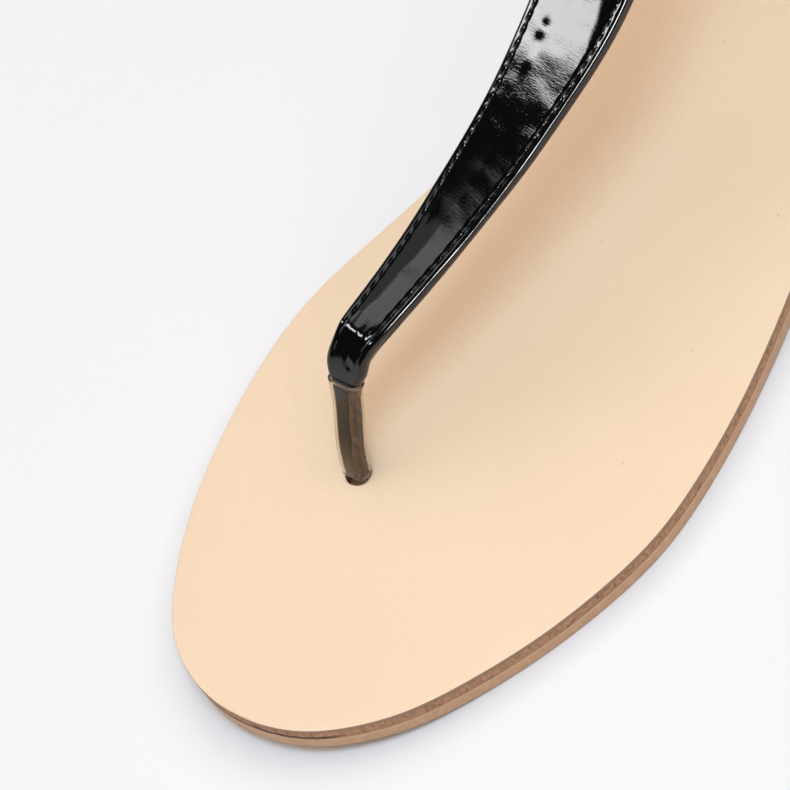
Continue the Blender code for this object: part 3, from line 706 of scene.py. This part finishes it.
raw_leather, shader, place = new_finish("raw_leather", 0.62)
flesh = place.stretched((1600, 1600, 500)).noise(1.0, 4.0, 0.65)
colour = flesh.ramp(
    (0.32, (0.085, 0.055, 0.036)), (0.55, (0.165, 0.112, 0.072)), (0.75, (0.290, 0.205, 0.140)),
)
feed(shader, height=flesh * 0.0002, Base_Color=colour)

rows = []
for i in range(RAW_ROWS + 1):
    share = RAW_TOP * i / RAW_ROWS
    centre, across, out, width, depth, _ = strap_place(share)
    half = width / 2
    wander = 0.05 * math.sin(17 * i / RAW_ROWS) + 0.03 * math.sin(41 * i / RAW_ROWS + 1)
    left, right = (RAW_STARTS + wander) * half, RAW_ENDS * half
    bend = depth / 2 - (right - RAW_TURNS * half) * RAW_SLOPE
    face = depth / 2 + RAW_PROUD
    section = [
        (right, bend - RAW_ON_SIDE), (right, bend + RAW_PROUD), ((left + right) / 2, face), (left, face),
        (left, face - RAW_SUNK),
    ]
    rows.append((centre, across, out, section, share * STRAP_LENGTH))
finish_piece(swept(rows), "raw_edge", raw_leather, "black_patent", sharp=50)

# Toe sleeve: a clear plastic tube pulled over the post so that it doesn't rub between the toes. Its wall is
# thin, both ends are cut square, and the upper end stands slightly proud of the strap.
SLEEVE_WALL = 0.4 * MM
SLEEVE_FOOT_GAP = 1.2 * MM
SLEEVE_LENGTH = 22.0 * MM
SLEEVE_LOOSE = 0.3 * MM


def give_wall(piece, thickness):
    """Thickens a skin inward."""
    wall = piece.modifiers.new("wall", "SOLIDIFY")
    wall.thickness = thickness
    wall.offset = -1


clear_plastic, shader, place = new_finish("clear_plastic", 0.06, IOR=1.25, Transmission_Weight=1.0)
scuffs = place.stretched((900, 900, 240)).noise(1.0, 4.0, 0.7)
skin = place.node("ShaderNodeUVMap", {"uv_map": "skin"}, {})
up_tube = place.node("ShaderNodeSeparateXYZ", {}, {"Vector": skin}, 1)
cut_end = up_tube.between(1.75, 1.35) + up_tube.between(22.75, 23.05)
colour = scuffs.ramp((0.3, (0.66, 0.60, 0.54)), (0.7, (0.76, 0.71, 0.65)))
feed(
    shader, height=scuffs * 0.000012, Base_Color=colour.mixed(cut_end, (0.98, 0.97, 0.95)),
    Roughness=0.03 + scuffs.between(0.55, 0.75) * 0.12 + cut_end * 0.5,
)

rows = []
for i in range(61):
    share = (SLEEVE_FOOT_GAP + SLEEVE_LENGTH * i / 60) / STRAP_LENGTH
    centre, across, out, width, depth, crown = strap_place(share)
    grow = 2 * (SLEEVE_LOOSE + SLEEVE_WALL)
    section = band_section(width + grow, depth + grow, lambda a: 0.0, 10, 9)
    rows.append((centre, across, out, section, share * STRAP_LENGTH))
tube = swept(rows, closed=False)
sleeve = finish_piece(tube, "clear_sleeve", clear_plastic, "clear_sleeve", "toe_sleeve", sharp=60)
give_wall(sleeve, SLEEVE_WALL)

# Ankle strap: black patent on the same lining, an oval ring sloping up to the front. One end folds round the
# buckle's hinge bar and is sewn down, and the other, with five punched holes, passes under the front bar.
ANKLE_WIDTH = 12.0 * MM
ANKLE_THICKNESS = 2.0 * MM
ANKLE_HALF_LENGTH = 41.0 * MM
ANKLE_HALF_WIDTH = 31.0 * MM
SLOPE = math.tan(math.radians(13.0))
FRONT_LEAN = math.tan(math.radians(16.0))
ANKLE_STITCH_INSET = 1.3 * MM
TAIL_END_ANGLE = 42.0
TAIL_POINT = 9.0 * MM
JOIN_OVERLAP = 0.35 * MM
CLEARANCE = 0.3 * MM
STRAP_OVER_RING = 1.0 * MM
HOLE_DIAMETER = 2.2 * MM
HOLE_SPACING = 7.0 * MM
HOLES = 5
BUCKLE_ANGLE = 86.0
ANKLE_PAD = 0.24 * MM
BUCKLE_WIRE = 1.8 * MM
PRONG_WIRE = 1.4 * MM
BUCKLE_REACH = 10.7 * MM
FOLD_WALL = 1.4 * MM
PRONG_HOLE = 3.6 * MM
RING_OUT = (STRAP_THICKNESS + ANKLE_THICKNESS) / 2 - JOIN_OVERLAP
RING_LIFT = ANKLE_WIDTH / 2 - STRAP_OVER_RING
FOLD_RADIUS = BUCKLE_WIRE / 2 + CLEARANCE + FOLD_WALL
STAND_OFF = BUCKLE_WIRE / 2 + CLEARANCE + PRONG_WIRE / 2
LAP = ANKLE_THICKNESS + CLEARANCE
OVER_FOLD = FOLD_RADIUS + CLEARANCE + ANKLE_THICKNESS / 2
TAIL_UNDER_BAR = 1.0 * MM
TAIL_RUN = (
    (-24.0 * MM, LAP),
    (-14.0 * MM, LAP),
    (-8.0 * MM, LAP + 0.3 * MM),
    (0.0 * MM, OVER_FOLD),
    (BUCKLE_REACH, TAIL_UNDER_BAR),
    (20.0 * MM, 0.15 * MM),
    (32.0 * MM, 0.0 * MM),
)
tail_curve = smooth([row[0] for row in TAIL_RUN], [row[1] for row in TAIL_RUN])


def ring_frame(degrees, outward):
    """A point of the ankle strap's line from its own middle; 0 is the back and 90 the little toe's side."""
    angle = math.radians(degrees)
    sine, cosine = math.sin(angle), math.cos(angle)
    width, length = ANKLE_HALF_WIDTH, ANKLE_HALF_LENGTH
    centre = Vector((width * sine, length * cosine, -SLOPE * length * cosine))
    ahead = Vector((width * cosine, -length * sine, SLOPE * length * sine))
    out = Vector((sine * length, cosine * width, 0.0)).normalized()
    out += UP * FRONT_LEAN * (1 - cosine) / 2
    out = (out - ahead * out.dot(ahead) / ahead.length_squared).normalized()
    return centre + out * outward, ahead.normalized().cross(out), out


front, front_across, _ = ring_frame(180, RING_OUT)
RING_MIDDLE = Vector(STRAP_LINE(1.0)) + front_across * RING_LIFT - front


def ankle_frame(degrees, outward=0.0):
    """A point of the ankle strap's line, with the directions up across it and out of it."""
    centre, across, out = ring_frame(degrees, outward)
    return RING_MIDDLE + centre, across, out


def degrees_for(length, degrees):
    """The angle that a length along the ankle strap takes up there."""
    angle = math.radians(degrees)
    speed = math.hypot(ANKLE_HALF_WIDTH * math.cos(angle), ANKLE_HALF_LENGTH * math.sin(angle))
    return math.degrees(length / speed)


def tail_offset(degrees):
    """How far out the free end runs at an angle, level beyond the ends of its curve."""
    past_hinge = (degrees - BUCKLE_ANGLE) / degrees_for(1.0, BUCKLE_ANGLE)
    return float(tail_curve(min(TAIL_RUN[-1][0], max(TAIL_RUN[0][0], past_hinge))))


FOLD_BACK = 13.0 * MM
FOLD_LAYER = 1.2 * MM
FOLD_TUCK = 0.45 * MM
fold_line = FOLD_RADIUS - FOLD_LAYER / 2
hinge, hinge_across, hinge_out = ankle_frame(BUCKLE_ANGLE)
hinge_ahead = hinge_out.cross(hinge_across)
ankle_path = []
for i in range(12):
    share = i / 11
    tuck = FOLD_TUCK * (1 - ease(0, 1, share))
    ankle_path.append((-FOLD_BACK * (1 - share), -fold_line + tuck, FOLD_LAYER))
for i in range(1, 24):
    angle = math.radians(-90 + 180 * i / 24)
    ankle_path.append((fold_line * math.cos(angle), fold_line * math.sin(angle), FOLD_LAYER))
for i in range(17):
    share = i / 16
    drop = ease(0, 1, share)
    thickness = FOLD_LAYER + (ANKLE_THICKNESS - FOLD_LAYER) * drop
    ankle_path.append((-FOLD_BACK * share, fold_line * (1 - drop), thickness))
ankle_line = []
for along, out, thickness in ankle_path:
    centre, across, outward = ankle_frame(BUCKLE_ANGLE + degrees_for(along, BUCKLE_ANGLE), out)
    ankle_line.append((centre, across, outward, ANKLE_WIDTH, thickness))
ANKLE_ROWS = 520
ankle_start = BUCKLE_ANGLE + degrees_for(-FOLD_BACK, BUCKLE_ANGLE)
ankle_end = TAIL_END_ANGLE - 360
for i in range(1, ANKLE_ROWS + 1):
    degrees = ankle_start + (ankle_end - ankle_start) * i / ANKLE_ROWS
    outward = tail_offset(degrees + 360) if degrees < -180 else 0.0
    centre, across, out = ankle_frame(degrees, outward)
    to_tip = max(0.004, (degrees - ankle_end) / degrees_for(TAIL_POINT, TAIL_END_ANGLE))
    width = ANKLE_WIDTH * math.sqrt(1 - max(0.0, 1 - to_tip) ** 2)
    ankle_line.append((centre, across, out, width, ANKLE_THICKNESS))

patent_rows, lining_rows, ankle_seams = [], [], []
along = 0.0
for i, (centre, across, out, width, thickness) in enumerate(ankle_line):
    before = ankle_line[max(0, i - 1)][0]
    after = ankle_line[min(len(ankle_line) - 1, i + 1)][0]
    ahead = (after - before).normalized()
    square = (across - ahead * across.dot(ahead)).normalized()
    outward = ahead.cross(square)
    along += (centre - before).length
    lining = min(LINING_THICKNESS, 0.35 * thickness)
    film = thickness - lining
    stitched = ease(0.55, 0.8, width / ANKLE_WIDTH)
    face = band_section(
        width, film,
        lambda a: padding(a, width, along, stitched, ANKLE_PAD * stitched, ANKLE_STITCH_INSET), 22, 5,
    )
    patent_rows.append((centre, square, outward, [(a, b + lining / 2) for a, b in face], along))
    backing = band_section(width * 1.008, lining, lambda a: 0.0, 8, 3)
    lining_rows.append((centre, square, outward, [(a, b - film / 2) for a, b in backing], along))
    ankle_seams.append((centre, square, outward, width, film / 2 + lining / 2, 0.0, along))


def prong_line():
    """The turn at which the prong leaves its eye, and the place of the strap's hole from the hinge."""
    _, ahead, _, out, _ = buckle_directions()
    degrees = BUCKLE_ANGLE + degrees_for(PRONG_HOLE, BUCKLE_ANGLE)
    hole = ankle_frame(degrees, tail_offset(degrees))[0] - hinge
    along, high = hole.dot(ahead), hole.dot(out)
    leaves = math.atan2(high, along) - math.acos(STAND_OFF / math.hypot(along, high))
    return leaves, along, high


def buckle_directions():
    """The hinge's middle, the directions to the front bar, across the frame and out of it, and the reach."""
    bar_offset = TAIL_UNDER_BAR + ANKLE_THICKNESS / 2 + CLEARANCE + BUCKLE_WIRE / 2
    bar_angle = BUCKLE_ANGLE + degrees_for(BUCKLE_REACH, BUCKLE_ANGLE)
    bar, _, _ = ankle_frame(bar_angle, bar_offset)
    ahead = (bar - hinge).normalized()
    across = (hinge_across - ahead * hinge_across.dot(ahead)).normalized()
    return hinge, ahead, across, across.cross(ahead), (bar - hinge).length


_, buckle_ahead, buckle_across, buckle_out, buckle_reach = buckle_directions()
leaves, hole_along, hole_high = prong_line()
bm = bmesh.new()
for i in range(HOLES):
    past_hinge = PRONG_HOLE + (i - HOLES // 2) * HOLE_SPACING
    degrees = BUCKLE_ANGLE + degrees_for(past_hinge, BUCKLE_ANGLE)
    centre, _, direction = ankle_frame(degrees, tail_offset(degrees))
    radius = HOLE_DIAMETER / 2
    if i == HOLES // 2:
        radius = PRONG_WIRE / 2 + 2 * CLEARANCE
        direction = buckle_out * math.cos(leaves) - buckle_ahead * math.sin(leaves)
    turn = UP.rotation_difference(direction).to_matrix().to_4x4()
    bmesh.ops.create_cone(
        bm, cap_ends=True, segments=24, radius1=radius, radius2=radius, depth=ANKLE_THICKNESS + 6 * CLEARANCE,
        matrix=Matrix.Translation(centre) @ turn,
    )
slot_size = (PRONG_WIRE + 2 * CLEARANCE, 2 * (FOLD_RADIUS + CLEARANCE), 2 * FOLD_RADIUS + 2 * CLEARANCE)
slot_axes = Matrix((hinge_across * slot_size[0], hinge_ahead * slot_size[1], hinge_out * slot_size[2]))
bmesh.ops.create_cube(bm, size=1.0, matrix=Matrix.Translation(hinge) @ slot_axes.transposed().to_4x4())
bmesh.ops.recalc_face_normals(bm, faces=bm.faces)
punches = loose_object("punches", bm)
for name, rows, finish in (
    ("ankle_strap_patent", patent_rows, black_patent),
    ("ankle_strap_lining", lining_rows, brown_lining),
):
    band = finish_piece(swept(rows), name, finish, "black_patent", "upper", sharp=60)
    cut = band.modifiers.new("holes", "BOOLEAN")
    cut.object = punches
    cut.solver = "EXACT"
    cut.use_self = True
    settle(band)
    band.data.set_sharp_from_angle(angle=math.radians(50))
bpy.data.objects.remove(punches)

bm = bmesh.new()
ends = [row[6] for row in ankle_seams if row[3] > 0.93 * ANKLE_WIDTH]
fold_end = 2 * FOLD_BACK + math.pi * fold_line
add_stitches(bm, ankle_seams, ANKLE_STITCH_INSET, fold_end - 8 * MM, ends[-1])
finish_piece(bm, "ankle_strap_stitches", black_thread, "black_patent", sharp=80)

# Strap loop: the T-strap's upper end folded round the front of the ankle strap.
LOOP_OVER_RING = STRAP_THICKNESS - JOIN_OVERLAP


def soften(piece, width):
    """Rounds a piece's edges."""
    edges = piece.modifiers.new("edges", "BEVEL")
    edges.width = width
    edges.segments = 3
    edges.limit_method = "ANGLE"
    edges.angle_limit = math.radians(50)


rows = []
half = degrees_for(STRAP_WIDTH / 2, 180)
for i in range(41):
    centre, across, out = ankle_frame(180 + half * (2 * i / 40 - 1), 0.0)
    wide, thick = ANKLE_WIDTH + 2 * LOOP_OVER_RING, ANKLE_THICKNESS + 2 * LOOP_OVER_RING
    rows.append((centre, across, out, band_section(wide, thick, lambda a: 0.0, 16, 9), STRAP_WIDTH * i / 40))
loop = finish_piece(swept(rows, closed=False), "strap_loop", black_patent, "black_patent", "upper", sharp=60)
give_wall(loop, LOOP_OVER_RING - 0.1 * MM)
soften(loop, 0.35 * MM)

# Heel counter: a patent shell lasted round the heel from the sole's edge up to the ankle strap, with a brown
# lining inside. It is outside the photograph.
COUNTER_TOP_ANGLE = 52.0
COUNTER_BULGE = 2.5 * MM
COUNTER_FRONT_HOLLOW = 0.10
COUNTER_ROWS_ON_STRAP = 0.25
COUNTER_LINING = 0.5 * MM


def counter_place(around, up, inward):
    """A point of the counter's outer face."""
    side = (2 * around - 1) * (1 - COUNTER_FRONT_HOLLOW * math.sin(math.pi * up))
    turn = math.pi - (math.pi - turn_of(COUNTER_STARTS)) * abs(side)
    x, y = edge_point(turn, math.copysign(1, side), COUNTER_MARGIN)
    low = Vector((x, y, underside(y) + OUTSOLE_THICKNESS + MIDSOLE_THICKNESS))
    ring, across, out = ankle_frame(side * COUNTER_TOP_ANGLE, JOIN_OVERLAP - ANKLE_THICKNESS / 2)
    seam = ring - across * ANKLE_WIDTH / 2
    flat_out = Vector((out.x, out.y, 0)).normalized()
    starts = 1 - COUNTER_ROWS_ON_STRAP
    if up > starts:
        share = (up - starts) / (1 - starts)
        return seam.lerp(ring + across * (ANKLE_WIDTH / 2 - 2 * CLEARANCE), share) - flat_out * inward
    share = up / starts
    point = low.lerp(seam, (share + ease(0, 1, share)) / 2)
    point.z = low.z + (seam.z - low.z) * share
    return point + flat_out * (COUNTER_BULGE * math.sin(math.pi * share) - inward)


def counter_skin(inward):
    """The counter's sheet, with millimetres round it and up it as UV."""
    bm = bmesh.new()
    bmesh.ops.create_grid(bm, x_segments=110, y_segments=40, size=1.0)
    uv = bm.loops.layers.uv.new("skin")
    for face in bm.faces:
        for corner in face.loops:
            corner[uv].uv = (70 * corner.vert.co.x, 24 * corner.vert.co.y)
    for vertex in bm.verts:
        vertex.co = counter_place((vertex.co.x + 1) / 2, (vertex.co.y + 1) / 2, inward)
    bmesh.ops.remove_doubles(bm, verts=bm.verts, dist=0.004 * MM)
    bm.normal_update()
    heel = Vector((0, LENGTH / 4, 0))
    if sum(face.normal.dot(face.calc_center_median() - heel) for face in bm.faces) < 0:
        bmesh.ops.reverse_faces(bm, faces=bm.faces)
    return bm


counter = finish_piece(counter_skin(0.0), "counter_patent", black_patent, "black_patent", "upper", sharp=60)
give_wall(counter, COUNTER_THICKNESS - COUNTER_LINING)
soften(counter, 0.4 * MM)
counter_lining = finish_piece(
    counter_skin(COUNTER_THICKNESS - COUNTER_LINING),
    "counter_lining", brown_lining, "black_patent", "upper", sharp=60,
)
give_wall(counter_lining, COUNTER_LINING)

# Buckle: a nickel-plated steel wire frame. Its back bar is the hinge in the strap's fold, and the prong's eye
# turns on it, rises through the strap's middle hole and rests on the front bar. It is outside the photograph.
BUCKLE_CORNER = 2.4 * MM
BUCKLE_SIDE_GAP = 1.1 * MM
PRONG_EYE_STARTS = 75.0
PRONG_BEND_STARTS = 0.3

nickel, shader, place = new_finish("nickel_plate", 0.18, Metallic=1.0)
rub = place.noise(700, 5.0, 0.65)
colour = rub.ramp((0.3, (0.56, 0.55, 0.53)), (0.7, (0.68, 0.67, 0.65)))
feed(shader, height=rub * 0.00001, Base_Color=colour, Roughness=0.12 + rub * 0.16)


def wire(name, points, diameter, node, closed=False):
    """A bent wire through the points, as a mesh with its skin closed."""
    curve = bpy.data.curves.new(name, "CURVE")
    curve.dimensions = "3D"
    curve.bevel_depth = diameter / 2
    curve.bevel_resolution = 5
    curve.use_fill_caps = True
    spline = curve.splines.new("POLY")
    spline.points.add(len(points) - 1)
    for target, point in zip(spline.points, points):
        target.co = (*point, 1.0)
    spline.use_cyclic_u = closed
    bent = bpy.data.objects.new(name, curve)
    bpy.context.scene.collection.objects.link(bent)
    mesh = bpy.data.meshes.new_from_object(bent.evaluated_get(bpy.context.evaluated_depsgraph_get()))
    bpy.data.objects.remove(bent)
    bm = bmesh.new()
    bm.from_mesh(mesh)
    bmesh.ops.remove_doubles(bm, verts=bm.verts, dist=0.001 * MM)
    return finish_piece(bm, name, nickel, "buckle_metal", node, sharp=50)


half = ANKLE_WIDTH / 2 + BUCKLE_SIDE_GAP + BUCKLE_WIRE / 2
near, far = BUCKLE_CORNER, buckle_reach - BUCKLE_CORNER
points = []
for corner, (along, side) in enumerate(((far, 1), (near, 1), (near, -1), (far, -1))):
    middle = hinge + buckle_ahead * along + buckle_across * side * (half - BUCKLE_CORNER)
    for step in range(11):
        angle = math.radians(90 * (corner + step / 10))
        outward = buckle_ahead * math.cos(angle) + buckle_across * math.sin(angle)
        points.append(middle + outward * BUCKLE_CORNER)
wire("buckle_wire", points, BUCKLE_WIRE, "buckle_frame", closed=True)

starts, ends = math.radians(PRONG_EYE_STARTS), leaves + 2 * math.pi
turns = [starts + (ends - starts) * i / 30 for i in range(31)]
path = [(STAND_OFF * math.cos(turn), STAND_OFF * math.sin(turn)) for turn in turns]
rise_along, rise_high = hole_along - path[-1][0], hole_high - path[-1][1]
bends = smooth(
    (0, 1, 2, 3),
    (
        path[-1],
        (hole_along + PRONG_BEND_STARTS * rise_along, hole_high + PRONG_BEND_STARTS * rise_high),
        ((hole_along + buckle_reach) / 2, STAND_OFF + PRONG_WIRE),
        (buckle_reach + BUCKLE_WIRE / 2, STAND_OFF),
    ),
)
path += [tuple(bends(i / 8)) for i in range(1, 25)]
points = [hinge + buckle_ahead * a + buckle_out * b for a, b in path]
wire("buckle_prong_wire", points, PRONG_WIRE, "buckle_prong")

# Keeper: a narrow patent band round the ankle strap that holds down the free end.
KEEPER_ANGLE = 63.0
KEEPER_WIDTH = 5.0 * MM
KEEPER_THICKNESS = 1.2 * MM
rows = []
half = degrees_for(KEEPER_WIDTH / 2, KEEPER_ANGLE)
for i in range(13):
    centre, across, out = ankle_frame(KEEPER_ANGLE + half * (2 * i / 12 - 1), LAP / 2)
    wrap = 2 * (CLEARANCE + KEEPER_THICKNESS)
    section = band_section(ANKLE_WIDTH + wrap, ANKLE_THICKNESS + LAP + wrap, lambda a: 0.0, 16, 9)
    rows.append((centre, across, out, section, KEEPER_WIDTH * i / 12))
band = swept(rows, closed=False)
keeper = finish_piece(band, "keeper_band", black_patent, "black_patent", "strap_keeper", sharp=60)
give_wall(keeper, KEEPER_THICKNESS)
soften(keeper, 0.3 * MM)

# Studio: a pale floor, a cool soft light overhead with a warm fill round it, panels that only the gloss
# mirrors, where the photograph shows their reflections on the strap, and the camera at the photo's angle.
FLOOR_SIZE = 6.0
VIEW_AZIMUTH = 58.0
VIEW_ELEVATION = 57.0
VIEW_ROLL = 28.5
VIEW_DISTANCE = 0.6
VIEW_LENS = 151.2
VIEW_MIDDLE = Vector((-16.0, -59.5, 6.8)) * MM


def towards(azimuth, elevation):
    """The direction from the sandal to a place seen at that azimuth, 0 at the toe, and elevation."""
    a, e = math.radians(azimuth), math.radians(elevation)
    return Vector((math.sin(a) * math.cos(e), -math.cos(a) * math.cos(e), math.sin(e)))


pale_floor, shader, place = new_finish("pale_floor", 0.9)
shader.inputs["Base Color"].default_value = (0.810, 0.823, 0.866, 1.0)
bm = bmesh.new()
bmesh.ops.create_grid(bm, x_segments=1, y_segments=1, size=FLOOR_SIZE / 2)
floor = loose_object("floor", bm)
floor.data.materials.append(pale_floor)

# Name, azimuth, elevation, roll, distance, width, height, power in watts, colour, whether it lights plain
# surfaces, and whether glossy ones mirror it
LIGHTS = (
    ("overhead_softbox", 66.0, 74.5, 0.0, 1.1, 0.28, 0.28, 4.6, (0.45, 0.76, 1.0), True, False),
    ("overhead_glint", 66.0, 74.5, 0.0, 1.1, 0.28, 0.28, 3.2, (1.0, 1.0, 1.0), False, True),
    ("ceiling_fill", 90.0, 88.0, 0.0, 1.2, 2.4, 2.4, 30.6, (1.0, 0.86, 0.73), True, False),
    ("front_softbox", -60.7, 50.5, -40.0, 1.3, 0.163, 0.70, 5.6, (0.98, 0.99, 1.0), False, True),
    ("grey_panel", -84.7, 66.1, -30.0, 1.2, 0.337, 0.295, 0.68, (0.95, 0.96, 1.0), False, True),
    ("dim_panel", -90.1, 54.0, -30.0, 1.2, 0.252, 0.252, 0.12, (0.95, 0.96, 1.0), False, True),
    ("edge_strip", 66.0, 36.0, 0.0, 1.3, 0.20, 0.36, 8.0, (1.0, 1.0, 1.0), False, True),
)
for name, azimuth, elevation, roll, distance, width, height, power, tint, lights, mirrored in LIGHTS:
    light = bpy.data.lights.new(name, "AREA")
    light.shape = "RECTANGLE"
    light.size = width
    light.size_y = height
    light.energy = power
    light.color = tint
    lamp = bpy.data.objects.new(name, light)
    lamp.visible_diffuse = lights
    lamp.visible_glossy = mirrored
    direction = towards(azimuth, elevation)
    lamp.location = VIEW_MIDDLE + direction * distance
    lamp.rotation_mode = "QUATERNION"
    lamp.rotation_quaternion = direction.to_track_quat("Z", "Y") @ Quaternion((0, 0, 1), math.radians(roll))
    bpy.context.scene.collection.objects.link(lamp)

world = bpy.data.worlds.new("studio")
world.use_nodes = True
sky = world.node_tree.nodes["Background"]
sky.inputs["Color"].default_value = (1.0, 0.97, 0.94, 1.0)
sky.inputs["Strength"].default_value = 0.05
bpy.context.scene.world = world
bpy.context.scene.view_settings.view_transform = "Standard"

back = towards(VIEW_AZIMUTH, VIEW_ELEVATION)
level = Vector((math.cos(math.radians(VIEW_AZIMUTH)), math.sin(math.radians(VIEW_AZIMUTH)), 0))
turned = Matrix.Rotation(math.radians(-VIEW_ROLL), 3, back)
right = turned @ level
lens = bpy.data.cameras.new("photo_view")
lens.lens = VIEW_LENS
lens.sensor_width = 36.0
camera = bpy.data.objects.new("photo_view", lens)
axes = Matrix((right, back.cross(right), back)).transposed().to_4x4()
camera.matrix_world = Matrix.Translation(VIEW_MIDDLE + back * VIEW_DISTANCE) @ axes
bpy.context.scene.collection.objects.link(camera)
bpy.context.scene.camera = camera
